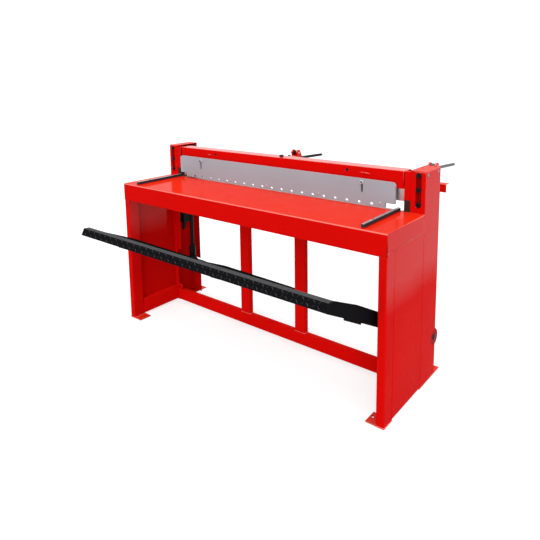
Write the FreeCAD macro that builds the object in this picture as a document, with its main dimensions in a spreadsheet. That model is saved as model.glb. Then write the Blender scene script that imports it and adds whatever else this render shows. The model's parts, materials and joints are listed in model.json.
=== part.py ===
import FreeCAD, Part

import math
import os

import Sketcher

# Foot-operated guillotine shear for sheet metal.
# X runs along the blades, Y runs from the operator to the back, Z is up.
# The origin is on the floor, halfway between the two front anchor holes.
# Depths are written from the front face of the table and shifted by back().

# Driving dimensions in millimetres, degrees or counts: name, value, meaning.
SIZES = [
    ("overall_width", 1650, "outside width over the two columns"),
    ("column_rise", 186, "column tops above the table"),
    ("frame_sheet", 4, "wall of the folded frame sheets"),
    ("fold_radius", 7, "outer radius of the table fold"),
    ("table_height", 813, "working height of the table"),
    ("shear_line", 365, "table front to the cutting plane"),
    ("apron_drop", 96, "height of the front apron"),
    ("side_apron_drop", 80, "height of the side aprons"),
    ("leg_width", 37, "front leg across the machine"),
    ("leg_depth", 70, "front leg along the depth"),
    ("leg_corner", 6, "rounded edges of the front legs"),
    ("foot_thickness", 6, "foot plates"),
    ("foot_setback", 2, "front foot plate behind the table front"),
    ("front_foot_width", 85, "front foot plate"),
    ("front_foot_depth", 76, "front foot plate"),
    ("front_foot_hole_inset", 72, "anchor hole from the outside"),
    ("front_foot_hole_back", 47, "anchor hole from the table front"),
    ("rear_foot_width", 42, "rear foot plate"),
    ("rear_foot_tongue", 64, "rear foot plate behind the column"),
    ("rear_foot_hole_inset", 21, "anchor hole from the outside"),
    ("anchor_hole_radius", 7, "holes for floor anchors"),
    ("column_depth", 166, "column channel along the depth"),
    ("column_flange", 68, "column channel flange"),
    ("column_slot_inset", 31, "middle of the adjusting slot from the outside"),
    ("column_slot_radius", 13, "half width of the adjusting slot"),
    ("column_slot_low", 36, "lower centre of the adjusting slot above the table"),
    ("column_slot_drop", 21, "upper centre of the adjusting slot below the column top"),
    ("arm_relief_bottom", 105, "cut in the front flange where the treadle swings"),
    ("arm_relief_top", 335, "cut in the front flange where the treadle swings"),
    ("cap_skirt", 30, "inner skirt of the column cap"),
    ("cap_hole_radius", 5, "hole in the top of the cap"),
    ("cap_hole_offset", 12, "hole behind the middle of the cap"),
    ("cap_screw_radius", 4, "cap screw shank"),
    ("cap_head_radius", 7, "cap screw head"),
    ("cap_head_height", 3, "cap screw head"),
    ("cap_screw_drop", 19, "cap screws below the top"),
    ("cap_screw_front", 26, "front cap screw behind the column front"),
    ("cap_screw_pitch", 114, "distance between the two cap screws"),
    ("side_rail_bottom", 10, "side floor rail"),
    ("side_rail_top", 95, "side floor rail"),
    ("cross_rail_bottom", 6, "cross rail between the sides"),
    ("cross_rail_top", 74, "cross rail between the sides"),
    ("cross_rail_depth", 30, "cross rail flanges"),
    ("cross_rail_lead", 6, "cross rail in front of the columns"),
    ("panel_bottom", 8, "lower edge of the side panel"),
    ("post_width", 65, "support posts"),
    ("post_depth", 30, "support posts"),
    ("left_post_share", -0.26, "left support post, share of the half width"),
    ("right_post_share", 0.2018, "right support post, share of the half width"),
    ("beam_thickness", 20, "blade beam under the table"),
    ("beam_height", 173, "lower edge of the blade beam below the table surface"),
    ("beam_foot_depth", 44, "bottom flange of the blade beam"),
    ("blade_end_inset", 102, "blade ends from the outside"),
    ("blade_thickness", 17, "both blades"),
    ("blade_gap", 0.1, "cutting clearance between the blades"),
    ("lower_blade_height", 60, "fixed blade"),
    ("upper_blade_height", 56, "moving blade"),
    ("opening_left", 5.5, "upper edge above the table at the left end"),
    ("opening_right", 42, "upper edge above the table at the right end"),
    ("blade_screw_radius", 5, "blade screw shank"),
    ("blade_head_radius", 8, "blade screw head"),
    ("blade_head_depth", 7, "blade screw head"),
    ("blade_screw_margin", 63, "outer blade screws from the blade ends"),
    ("blade_screw_count", 7, "screws in each blade"),
    ("screw_seat", 0.2, "play round a screw head in its counterbore"),
    ("ram_setback", 7, "ram face behind the column front"),
    ("ram_drop", 8, "top of the ram below the column tops"),
    ("ram_sheet", 6, "skirt, step and top flange of the ram"),
    ("ram_web", 12, "back plate of the ram"),
    ("ram_flange_back", 430, "rear edge of the top flange"),
    ("ram_lip", 25, "drop of the rear lip"),
    ("ram_web_drop", 50, "back plate below the top of the blade"),
    ("rib_height", 80, "ribs behind the ram"),
    ("rib_margin", 123, "outer ribs from the ends of the ram"),
    ("rib_count", 6, "ribs behind the ram"),
    ("end_play", 4, "blade end to front guide"),
    ("slide_play", 0.1, "sliding clearance of the ram in its guides"),
    ("guide_low", 13, "lower end of the guides below the table"),
    ("guide_depth", 20, "front guide bar"),
    ("guide_edge", 10, "guide bars in from the outside"),
    ("rear_guide_width", 46, "rear guide bar"),
    ("rear_guide_depth", 18, "rear guide bar"),
    ("shoe_depth", 30, "ram shoe"),
    ("shoe_outer", 25, "ram shoe in from the outside"),
    ("shoe_low", 52, "bottom of the ram shoe above the table"),
    ("shoe_drop", 14, "top of the ram shoe below the column tops"),
    ("guide_bolt_radius", 5, "guide bolt shank"),
    ("guide_head_radius", 9, "guide bolt head"),
    ("guide_head_height", 8, "guide bolt head"),
    ("guide_bolt_low", 38, "lowest guide bolt above the table"),
    ("guide_bolt_drop", 19, "highest guide bolt below the column tops"),
    ("stroke", 45, "travel of the ram"),
    ("spring_seat_drop", 113, "lower end of the return spring below the table"),
    ("spring_ledge", 10, "thickness of the spring ledge"),
    ("spring_radius", 10, "middle radius of the return spring coil"),
    ("spring_wire_radius", 2, "return spring wire"),
    ("spring_turns", 8, "return spring coils"),
    ("spring_edge", 1, "return spring in from the edge of the shoe"),
    ("spring_play", 0.3, "play at each end of the return spring"),
    ("guard_left_inset", 105.5, "left end of the guard from the outside"),
    ("guard_right_inset", 123.5, "right end of the guard from the outside"),
    ("guard_top_drop", 55, "upper edge of the guard below the column tops"),
    ("guard_lift", 5, "lower edge of the guard above the table"),
    ("guard_tab_step", 22, "end tabs above the lower edge of the guard"),
    ("guard_tab", 53, "width of the end tabs"),
    ("guard_corner", 28, "upper corners of the guard"),
    ("guard_thickness", 12, "guard plate"),
    ("guard_gap", 3, "guard to the ram face"),
    ("guard_drop", 4.7, "drop of the guard onto the sheet"),
    ("sight_hole_radius", 6.5, "row of sight holes"),
    ("sight_hole_rise", 9.5, "row of sight holes above the lower edge of the guard"),
    ("sight_hole_margin", 125.5, "outer sight holes from the ends of the guard"),
    ("sight_hole_count", 19, "row of sight holes"),
    ("shoulder_inset", 177.5, "shoulder bolts from the ends of the guard"),
    ("shoulder_drop", 22, "shoulder bolts below the upper edge of the guard"),
    ("shoulder_radius", 5, "shoulder bolt shank"),
    ("shoulder_head_radius", 9, "shoulder bolt head"),
    ("shoulder_head_height", 6, "shoulder bolt head"),
    ("shoulder_play", 0.4, "play of the shoulder bolts in their slots"),
    ("slot_spare", 4, "slot below the lowest bolt position"),
    ("guard_screw_radius", 3, "small screws in the guard"),
    ("guard_button_radius", 5, "heads of the small screws in the guard"),
    ("guard_button_height", 2.5, "heads of the small screws in the guard"),
    ("guard_screw_rise", 18, "small screws above the lower edge of the guard"),
    ("plug_radius", 8, "socket screws in the ram face"),
    ("plug_inset", 288, "socket screws from the ends of the ram"),
    ("plug_recess", 1, "socket screws below the ram face"),
    ("plug_drop", 31, "socket screws below the column tops"),
    ("left_boss_inset", 343, "left boss on the ram face from the outside"),
    ("right_boss_inset", 282, "right boss on the ram face from the outside"),
    ("face_boss_drop", 39, "bosses on the ram face below the column tops"),
    ("face_boss_length", 26, "bosses on the ram face"),
    ("face_boss_proud", 2, "bosses on the ram face"),
    ("face_boss_height", 9, "bosses on the ram face"),
    ("square_bar_inset", 113, "squaring bars from the outside"),
    ("square_bar_width", 14, "squaring bars"),
    ("square_bar_height", 18, "squaring bars"),
    ("square_bar_front", 12, "squaring bars from the table front"),
    ("square_bar_back", 338, "squaring bars from the table front"),
    ("square_seat_depth", 0.5, "seats of the squaring bars in the table"),
    ("square_seat_play", 0.2, "play of the squaring bars in their seats"),
    ("square_hole_front", 99, "squaring bar screws from the table front"),
    ("square_hole_back", 286, "squaring bar screws from the table front"),
    ("square_shank_radius", 3, "squaring bar screws"),
    ("square_head_radius", 5, "squaring bar screw heads"),
    ("square_head_height", 4, "squaring bar screw heads"),
    ("pivot_back", 502, "treadle axis from the table front"),
    ("pivot_height", 191, "treadle axis above the floor"),
    ("pivot_radius", 15, "treadle shafts"),
    ("pivot_play", 0.05, "treadle shafts in their bearings"),
    ("notch_radius", 40, "notch in the column for the bearing"),
    ("bearing_flange_radius", 43, "bearing flange inside the column"),
    ("bearing_flange", 8, "bearing flange thickness"),
    ("bearing_hub_radius", 26, "bearing hub"),
    ("bearing_hub_length", 38, "bearing hub"),
    ("bearing_play", 0.3, "bearing boss in the column notch"),
    ("treadle_angle", 28.1, "slope of the treadle arms at rest"),
    ("treadle_inset", 59, "treadle ends from the outside"),
    ("arm_plate", 9, "treadle arm plates"),
    ("left_arm_inset", 220, "left arm plate from the outside"),
    ("middle_arm_share", 0.097, "middle arm plate, share of the half width"),
    ("lever_width", 52, "link levers"),
    ("lever_wall", 4, "wall of the link levers"),
    ("lever_length", 156, "link levers in front of the axis"),
    ("lever_shoulder", 20, "where the top of the lever falls to its tail"),
    ("lever_tail", 30, "link levers behind the axis"),
    ("lever_tail_level", 14, "top of the lever at its tail"),
    ("lever_corner", 8, "upper corner of the lever tail"),
    ("lever_tail_radius", 20, "lower corner of the lever tail"),
    ("arm_top", 32, "top of the arm above the treadle axis"),
    ("arm_bottom", 28, "bottom of the arm below the treadle axis"),
    ("arm_tail", 26, "arm plates behind the axis"),
    ("arm_tail_radius", 24, "rounded tail of the arm plates"),
    ("arm_taper", 144, "where the arm plates reach full height"),
    ("kink_reach", 711, "where the arm bends down to the tread"),
    ("tread_reach", 917, "front face of the tread"),
    ("tread_top_rear", 20, "rear edge of the tread above the axis line"),
    ("tread_top_front", 7, "front edge of the tread above the axis line"),
    ("tread_depth", 29, "tread surface from front to back"),
    ("tread_sheet", 5, "tread thickness"),
    ("tread_face_drop", 30, "bottom of the front face below the axis line"),
    ("stiffener_start", 650, "stiffener under the arm"),
    ("stiffener_end", 782, "stiffener under the arm"),
    ("stiffener_drop", 7, "stiffener under the arm"),
    ("tube_radius", 20, "torque tube"),
    ("tube_wall", 4, "torque tube"),
    ("shaft_plug", 10, "plug of the shaft inside the torque tube"),
    ("lever_radius", 85, "treadle axis to the link pin"),
    ("link_inset", 87, "link rods from the outside"),
    ("link_rod_radius", 12, "link rods"),
    ("link_rod_drop", 39, "link rods below the column tops"),
    ("link_pin_radius", 9, "link pins"),
    ("link_pin_play", 1.2, "link pins in the slotted eye"),
    ("link_slide", 10.5, "length of the slotted eye beyond the pin"),
    ("link_sleeve_radius", 20, "sleeve at the foot of the link rod"),
    ("link_pin_head", 4, "link pins beyond the levers"),
    ("link_sleeve_bottom", 285, "sleeve at the foot of the link rod"),
    ("link_sleeve_top", 347, "sleeve at the foot of the link rod"),
    ("link_eye_width", 20, "link eye"),
    ("link_eye_radius", 22, "link eye"),
    ("link_slot_near", 46, "slot in the lever from the axis"),
    ("link_slot_far", 140, "slot in the lever from the axis"),
    ("link_slot_width", 28, "slot in the lever"),
    ("link_lug_depth", 60, "ram lug for the link rod"),
    ("link_lug_low", 67, "bottom of the ram lug above the table"),
    ("link_lug_high", 102, "top of the ram lug above the table"),
    ("link_lug_width", 64, "ram lug for the link rod"),
    ("link_nut_radius", 21, "nuts on the link rod"),
    ("link_nut_height", 14, "nuts on the link rod"),
    ("stop_front", 408, "stop block from the table front"),
    ("stop_depth", 57, "stop block"),
    ("stop_width", 31, "stop block"),
    ("stop_bottom", 490, "stop block"),
    ("stop_top", 552, "stop block"),
    ("stop_tongue", 49, "tongue under the stop block"),
    ("rear_tube_depth", 30, "rear cross tube"),
    ("rear_tube_drop", 34, "rear cross tube below the column tops"),
    ("rear_tube_height", 35, "rear cross tube"),
    ("rear_tube_inset", 25, "rear cross tube from the outside"),
    ("rear_tube_wall", 3, "rear cross tube"),
    ("bracket_right_inset", 47, "right rear bracket from the outside"),
    ("bracket_back", 545, "rear brackets from the table front"),
    ("bracket_width", 40, "rear brackets"),
    ("bracket_ear", 8, "ears of the rear brackets"),
    ("bracket_ear_radius", 16, "ears of the rear brackets"),
    ("bracket_ear_round", 15, "corners of the ears"),
    ("bracket_base", 10, "base of the rear brackets"),
    ("bracket_pin_drop", 7, "rear arm pins below the column tops"),
    ("bracket_pin_radius", 5, "rear arm pins"),
    ("bracket_pin_tail", 14, "pin beyond the ear"),
    ("rest_arm_radius", 6.5, "rear rest arms"),
    ("rest_arm_length", 246, "rear rest arms"),
    ("rest_arm_slope", 8, "droop of the rear rest arms"),
    ("rest_hub_radius", 12, "hub of the rear rest arms"),
    ("rest_hub_play", 0.4, "hub between the ears"),
    ("gauge_rod_share", 0.7273, "gauge rods, share of the way to the outer blade screws"),
    ("gauge_rod_radius", 9, "gauge rods"),
    ("gauge_rod_rise", 59, "gauge rods above the table"),
    ("gauge_rod_end", 965, "gauge rods from the table front"),
    ("gauge_rod_play", 0.05, "gauge rods in their clamps"),
    ("gauge_collar_radius", 15, "collars of the gauge rods behind the ram"),
    ("gauge_collar_length", 24, "collars of the gauge rods behind the ram"),
    ("fence_back", 900, "fence face from the table front"),
    ("fence_end_inset", 115, "fence ends from the outside"),
    ("fence_sheet", 4, "fence angle"),
    ("fence_height", 45, "fence angle"),
    ("fence_depth", 40, "fence angle"),
    ("fence_drop", 20, "lower edge of the fence below the table"),
    ("clamp_width", 44, "gauge clamps"),
    ("clamp_depth", 36, "gauge clamps"),
    ("clamp_rise", 13, "top of the clamps above the gauge rods"),
    ("knob_radius", 13, "gauge clamp knobs"),
    ("knob_height", 14, "gauge clamp knobs"),
    ("knob_screw_radius", 4, "gauge clamp screws"),
    ("knob_gap", 8, "clamp to knob"),
]

doc = FreeCAD.newDocument("guillotine_shear")
sheet = doc.addObject("Spreadsheet::Sheet", "sizes")


class Size:
    """A length that carries its sheet formula together with its present value."""

    def __init__(self, text, value):
        self.text = text
        self.value = float(value)

    @staticmethod
    def of(thing):
        return thing if isinstance(thing, Size) else Size(repr(thing), thing)

    def __add__(self, other):
        other = Size.of(other)
        return Size(f"({self.text} + {other.text})", self.value + other.value)

    def __sub__(self, other):
        other = Size.of(other)
        return Size(f"({self.text} - {other.text})", self.value - other.value)

    def __mul__(self, other):
        other = Size.of(other)
        return Size(f"({self.text} * {other.text})", self.value * other.value)

    def __truediv__(self, other):
        other = Size.of(other)
        return Size(f"({self.text} / {other.text})", self.value / other.value)

    def __neg__(self):
        return Size(f"(-1 * {self.text})", -self.value)

    def __radd__(self, other):
        return Size.of(other) + self

    def __rsub__(self, other):
        return Size.of(other) - self

    def __rmul__(self, other):
        return Size.of(other) * self


class Sizes:
    """The driving dimensions by name."""


S = Sizes()
for row, (alias, number, meaning) in enumerate(SIZES, start=1):
    sheet.set(f"A{row}", alias)
    sheet.set(f"B{row}", str(number))
    sheet.set(f"C{row}", meaning)
    sheet.setAlias(f"B{row}", alias)
    setattr(S, alias, Size(f"sizes.{alias}", number))
doc.recompute()

ZERO = Size("0", 0)
HALF = S.overall_width / 2
CREST = S.table_height + S.column_rise
COLUMN_FRONT = S.shear_line - S.blade_thickness
COLUMN_REAR = COLUMN_FRONT + S.column_depth
COLUMN_TOP = CREST - S.frame_sheet
COLUMN_INSIDE = HALF - S.column_flange
WEB_INSIDE = HALF - S.frame_sheet
TABLE_UNDER = S.table_height - S.frame_sheet
APRON_BOTTOM = S.table_height - S.apron_drop
SIDE_APRON_BOTTOM = S.table_height - S.side_apron_drop
BEAM_BOTTOM = S.table_height - S.beam_height
BLADE_HALF = HALF - S.blade_end_inset
RAM_FACE = COLUMN_FRONT + S.ram_setback
RAM_TOP = CREST - S.ram_drop
UPPER_BLADE_FRONT = S.shear_line + S.blade_gap
UPPER_BLADE_REAR = S.shear_line + S.blade_thickness
RAM_BACK = UPPER_BLADE_REAR + S.ram_web
GUIDE_FRONT = COLUMN_FRONT + S.frame_sheet
GUIDE_REAR = GUIDE_FRONT + S.guide_depth
GUIDE_INNER = BLADE_HALF + S.end_play
SHOE_FRONT = GUIDE_REAR + S.slide_play
SHOE_REAR = SHOE_FRONT + S.shoe_depth
SHOE_BOTTOM = S.table_height + S.shoe_low
SPRING_SEAT = S.table_height - S.spring_seat_drop
GUARD_FRONT = RAM_FACE - S.guard_gap - S.guard_thickness
GUARD_BACK = RAM_FACE - S.guard_gap
GUARD_LEFT = S.guard_left_inset - HALF
GUARD_RIGHT = HALF - S.guard_right_inset
GUARD_TOP = CREST - S.guard_top_drop
GUARD_BOTTOM = S.table_height + S.guard_lift
GUARD_TRAVEL = S.stroke - S.guard_drop
SHOULDER_LEVEL = GUARD_TOP - S.shoulder_drop
SHOULDERS = (GUARD_LEFT + S.shoulder_inset, GUARD_RIGHT - S.shoulder_inset)
PLUG_REACH = BLADE_HALF - S.plug_inset
PLUG_LEVEL = CREST - S.plug_drop
LINK_X = HALF - S.link_inset
LUG_BOTTOM = S.table_height + S.link_lug_low
LUG_TOP = S.table_height + S.link_lug_high
TREADLE_HALF = HALF - S.treadle_inset
LEVER_OUTSIDE = TREADLE_HALF - S.arm_plate
LEVER_INSIDE = LEVER_OUTSIDE - S.lever_width
ROD_REACH = (BLADE_HALF - S.blade_screw_margin) * S.gauge_rod_share
ROD_LEVEL = S.table_height + S.gauge_rod_rise
CLAMP_TOP = ROD_LEVEL + S.clamp_rise
FENCE_BOTTOM = S.table_height - S.fence_drop
TUBE_TOP = CREST - S.rear_tube_drop


def back(depth):
    """A depth from the table front as a Y coordinate of the model."""
    return depth - S.front_foot_hole_back


def bind(thing, path, size):
    """Ties one property of an object to the sheet."""
    thing.setExpression(path, size.text)


def place(thing, x=ZERO, y=ZERO, z=ZERO):
    """Ties the position of an object to the sheet."""
    thing.Placement.Base = FreeCAD.Vector(x.value, y.value, z.value)
    for axis, size in zip("xyz", (x, y, z)):
        bind(thing, f".Placement.Base.{axis}", size)


def ordered(one, other):
    return (one, other) if one.value < other.value else (other, one)


def box(name, xs, ys, zs):
    """A block between two planes along each axis."""
    block = doc.addObject("Part::Box", name)
    starts = []
    for side, pair in zip(("Length", "Width", "Height"), (xs, ys, zs)):
        low, high = ordered(*pair)
        bind(block, side, high - low)
        starts.append(low)
    place(block, *starts)
    return block


TURNS = {
    "x": FreeCAD.Rotation(FreeCAD.Vector(0, 1, 0), 90),
    "y": FreeCAD.Rotation(FreeCAD.Vector(1, 0, 0), -90),
    "z": FreeCAD.Rotation(),
}


def rod(name, axis, ends, centre, radius):
    """A cylinder along one axis; centre gives the other two coordinates in X, Y, Z order."""
    low, high = ordered(*ends)
    cylinder = doc.addObject("Part::Cylinder", name)
    bind(cylinder, "Radius", Size.of(radius))
    bind(cylinder, "Height", high - low)
    cylinder.Placement.Rotation = TURNS[axis]
    spot = list(centre)
    spot.insert("xyz".index(axis), low)
    place(cylinder, *spot)
    return cylinder


def fuse(name, *pieces):
    joined = doc.addObject("Part::MultiFuse", name)
    joined.Shapes = list(pieces)
    return joined


def cut(name, base, *tools):
    tool = tools[0] if len(tools) == 1 else fuse(name + "_tools", *tools)
    rest = doc.addObject("Part::Cut", name)
    rest.Base = base
    rest.Tool = tool
    return rest


def group(name, pieces):
    """Identical separate solids that share one node."""
    together = doc.addObject("Part::Compound", name)
    together.Links = list(pieces)
    return together


def origin_plane(body, role):
    return next(feature for feature in body.Origin.OriginFeatures if feature.Role == role)


class Outline:
    """A sketch on an origin plane of a body, dimensioned from the sheet."""

    def __init__(self, body, name, role, offset):
        self.sketch = body.newObject("Sketcher::SketchObject", name)
        self.sketch.AttachmentSupport = [(origin_plane(body, role), "")]
        self.sketch.MapMode = "FlatFace"
        self.sketch.AttachmentOffset.Base.z = offset.value
        bind(self.sketch, ".AttachmentOffset.Base.z", offset)

    def tie(self, kind, *places, size):
        index = self.sketch.addConstraint(Sketcher.Constraint(kind, *places, size.value))
        bind(self.sketch, f"Constraints[{index}]", size)

    def pin(self, geometry, point, u, v):
        """Dimensions one point from the sketch origin."""
        self.tie("DistanceX", -1, 1, geometry, point, size=u)
        self.tie("DistanceY", -1, 1, geometry, point, size=v)

    def circle(self, u, v, radius):
        centre = FreeCAD.Vector(u.value, v.value, 0)
        normal = FreeCAD.Vector(0, 0, 1)
        ring = self.sketch.addGeometry(Part.Circle(centre, normal, radius.value))
        self.pin(ring, 3, u, v)
        self.tie("Radius", ring, size=radius)

    def slot(self, u, low, high, radius):
        """An upright obround opening."""
        normal = FreeCAD.Vector(0, 0, 1)
        arcs = []
        for v, start in ((high, 0.0), (low, math.pi)):
            circle = Part.Circle(FreeCAD.Vector(u.value, v.value, 0), normal, radius.value)
            arcs.append(self.sketch.addGeometry(Part.ArcOfCircle(circle, start, start + math.pi)))
        sides = []
        for side in (-1, 1):
            reach = u.value + side * radius.value
            first = FreeCAD.Vector(reach, high.value if side < 0 else low.value, 0)
            second = FreeCAD.Vector(reach, low.value if side < 0 else high.value, 0)
            sides.append(self.sketch.addGeometry(Part.LineSegment(first, second)))
        joints = ((arcs[0], 2, sides[0], 1), (sides[0], 2, arcs[1], 1),
                  (arcs[1], 2, sides[1], 1), (sides[1], 2, arcs[0], 1))
        for joint in joints:
            self.sketch.addConstraint(Sketcher.Constraint("Tangent", *joint))
        self.pin(arcs[0], 3, u, high)
        self.tie("DistanceY", -1, 1, arcs[1], 3, size=low)
        self.tie("Radius", arcs[0], size=radius)

    def polygon(self, corners):
        """A closed outline; a corner is (u, v) or (u, v, radius) for a rounded one."""
        spots = [FreeCAD.Vector(corner[0].value, corner[1].value, 0) for corner in corners]
        count = len(corners)
        entry, leave, middle = [], [], []
        for index, corner in enumerate(corners):
            here = spots[index]
            before = (spots[index - 1] - here).normalize()
            after = (spots[(index + 1) % count] - here).normalize()
            if len(corner) == 2:
                entry.append(here)
                leave.append(here)
                middle.append(None)
                continue
            turn = before.getAngle(after)
            reach = corner[2].value / math.tan(turn / 2)
            inward = (before + after).normalize() * (corner[2].value / math.sin(turn / 2))
            entry.append(here + before * reach)
            leave.append(here + after * reach)
            middle.append(here + inward - (before + after).normalize() * corner[2].value)
        lines = []
        for index in range(count):
            segment = Part.LineSegment(leave[index], entry[(index + 1) % count])
            lines.append(self.sketch.addGeometry(segment))
        for index, corner in enumerate(corners):
            last, following = lines[index - 1], lines[index]
            if middle[index] is None:
                self.sketch.addConstraint(Sketcher.Constraint("Coincident", last, 2, following, 1))
                self.pin(following, 1, corner[0], corner[1])
                continue
            bend = Part.Arc(entry[index], middle[index], leave[index])
            arc = self.sketch.addGeometry(bend)
            turned = (entry[index] - spots[index]).cross(leave[index] - spots[index]).z > 0
            start, end = (2, 1) if turned else (1, 2)
            self.sketch.addConstraint(Sketcher.Constraint("Tangent", last, 2, arc, start))
            self.sketch.addConstraint(Sketcher.Constraint("Tangent", arc, end, following, 1))
            self.tie("Radius", arc, size=corner[2])
            spot = self.sketch.addGeometry(Part.Point(spots[index]), True)
            self.pin(spot, 1, corner[0], corner[1])
            for line in (last, following):
                self.sketch.addConstraint(Sketcher.Constraint("PointOnObject", spot, 1, line))


PLANES = {"x": "YZ_Plane", "y": "XZ_Plane", "z": "XY_Plane"}


def add_pad(body, name, axis, span, outlines=(), circles=(), slots=(), kind="Pad"):
    """Pads or pockets one sketch of a body between two planes along an axis."""
    low, high = ordered(*span)
    against = axis == "y"
    offset = -high if against else low
    outline = Outline(body, name + "_sketch", PLANES[axis], offset)
    for corners in outlines:
        outline.polygon(corners)
    for ring in circles:
        outline.circle(*ring)
    for slot in slots:
        outline.slot(*slot)
    feature = body.newObject("PartDesign::" + kind, name)
    feature.Profile = outline.sketch
    feature.Length = (high - low).value
    bind(feature, "Length", high - low)
    if kind == "Pocket":
        feature.Reversed = True
    outline.sketch.Visibility = False
    body.Tip = feature
    return feature


def plate(name, axis, span, outlines=(), circles=(), slots=()):
    """A body with one padded profile and its openings."""
    body = doc.addObject("PartDesign::Body", name)
    add_pad(body, name + "_pad", axis, span, outlines, circles, slots)
    return body


def repeat(body, feature, name, axis_role, length, count):
    """A straight row of copies of one feature."""
    row = body.newObject("PartDesign::LinearPattern", name)
    row.Originals = [feature]
    row.Direction = (origin_plane(body, axis_role), [""])
    row.Length = length.value
    bind(row, "Length", length)
    row.Occurrences = int(count.value)
    bind(row, "Occurrences", count)
    body.Tip = row
    return row


def rectangle(us, vs):
    left, right = ordered(*us)
    low, high = ordered(*vs)
    return [(left, low), (right, low), (right, high), (left, high)]


nodes = {}


def node(name, thing):
    """Names a finished sub-part."""
    thing.Label = name
    nodes[name] = thing
    return thing


SIDES = (("left", -1), ("right", 1))


def table_top():
    """Table sheet folded down at the front and sides, with seats for the squaring bars."""
    front, rear = back(ZERO), back(COLUMN_FRONT)
    inner_front = front + S.frame_sheet
    profile = [
        (front, APRON_BOTTOM),
        (inner_front, APRON_BOTTOM),
        (inner_front, TABLE_UNDER, S.fold_radius - S.frame_sheet),
        (rear, TABLE_UNDER),
        (rear, S.table_height),
        (front, S.table_height, S.fold_radius),
    ]
    body = plate("folded_table", "x", (-HALF, HALF), [profile])
    flanges = []
    for side, sign in SIDES:
        across = (sign * WEB_INSIDE, sign * HALF)
        flanges.append(box(f"{side}_side_flange", across, (inner_front, rear),
                           (SIDE_APRON_BOTTOM, TABLE_UNDER)))
    seats = []
    for side, sign in SIDES:
        reach = S.square_bar_width / 2 + S.square_seat_play
        centre = sign * (HALF - S.square_bar_inset)
        along = (back(S.square_bar_front - S.square_seat_play), back(S.square_bar_back + S.square_seat_play))
        seats.append(box(f"{side}_bar_seat", (centre - reach, centre + reach), along,
                         (S.table_height - S.square_seat_depth, S.table_height)))
    node("table_top", cut("table_top_body", fuse("table_blank", body, *flanges), *seats))


def front_legs():
    """Square tubes with rounded edges, cut back behind the front and side aprons."""
    for side, sign in SIDES:
        outside, inside = sign * HALF, sign * (HALF - S.leg_width)
        wall = sign * S.frame_sheet
        front, rear = back(ZERO), back(S.leg_depth)
        outer = rectangle((inside, outside), (front, rear))
        inner = rectangle((inside + wall, outside - wall), (front + S.frame_sheet, rear - S.frame_sheet))
        rounded = [[(*corner, radius) for corner in corners]
                   for corners, radius in ((outer, S.leg_corner), (inner, S.leg_corner - S.frame_sheet))]
        tube = plate(f"{side}_leg_tube", "z", (S.foot_thickness, TABLE_UNDER), rounded)
        behind = box(f"{side}_leg_notch", (inside, outside), (front, front + S.fold_radius),
                     (APRON_BOTTOM, TABLE_UNDER))
        beside = box(f"{side}_leg_side_notch", (sign * WEB_INSIDE, outside), (front, rear),
                     (SIDE_APRON_BOTTOM, TABLE_UNDER))
        node(f"{side}_front_leg", cut(f"{side}_leg_body", tube, behind, beside))


def side_panels():
    """Sheets between the legs and the columns, flush with the sides of the machine."""
    for side, sign in SIDES:
        across = (sign * WEB_INSIDE, sign * HALF)
        along = (back(S.leg_depth), back(COLUMN_FRONT))
        node(f"{side}_side_panel", box(f"{side}_panel", across, along,
                                       (S.panel_bottom, SIDE_APRON_BOTTOM)))


def side_rails():
    """Floor rails from the front legs to the columns, open tubes."""
    for side, sign in SIDES:
        outer_x = (sign * (HALF - S.leg_width), sign * WEB_INSIDE)
        inner_x = (outer_x[0] + sign * S.frame_sheet, outer_x[1] - sign * S.frame_sheet)
        inner_z = (S.side_rail_bottom + S.frame_sheet, S.side_rail_top - S.frame_sheet)
        profile = [rectangle(outer_x, (S.side_rail_bottom, S.side_rail_top)),
                   rectangle(inner_x, inner_z)]
        along = (back(S.leg_depth), back(COLUMN_FRONT))
        node(f"{side}_side_rail", plate(f"{side}_rail", "y", along, profile))


def columns():
    """Tall channels, open to the middle, with the guide slot and the bearing notch."""
    for side, sign in SIDES:
        front, rear = back(COLUMN_FRONT), back(COLUMN_REAR)
        outside, web, edge = sign * HALF, sign * WEB_INSIDE, sign * COLUMN_INSIDE
        inner_front, inner_rear = front + S.frame_sheet, rear - S.frame_sheet
        profile = [(edge, front), (outside, front), (outside, rear), (edge, rear),
                   (edge, inner_rear), (web, inner_rear), (web, inner_front), (edge, inner_front)]
        if sign < 0:
            profile.reverse()
        body = plate(f"{side}_channel", "z", (S.foot_thickness, COLUMN_TOP), [profile])
        slot = (sign * (HALF - S.column_slot_inset), S.table_height + S.column_slot_low,
                CREST - S.column_slot_drop, S.column_slot_radius)
        add_pad(body, f"{side}_guide_slot", "y", (front, inner_front), slots=[slot], kind="Pocket")
        notch = (back(S.pivot_back), S.pivot_height, S.notch_radius)
        add_pad(body, f"{side}_bearing_notch", "x", (web, outside), circles=[notch], kind="Pocket")
        relief = box(f"{side}_arm_relief", (edge, sign * (HALF - S.leg_width)), (front, inner_front),
                     (S.arm_relief_bottom, S.arm_relief_top))
        reach = S.bearing_flange_radius + S.bearing_play
        gate = box(f"{side}_bearing_gate", (edge, web), (inner_rear, rear),
                   (S.pivot_height - reach, S.pivot_height + reach))
        node(f"{side}_column", cut(f"{side}_column_body", body, relief, gate))


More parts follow.
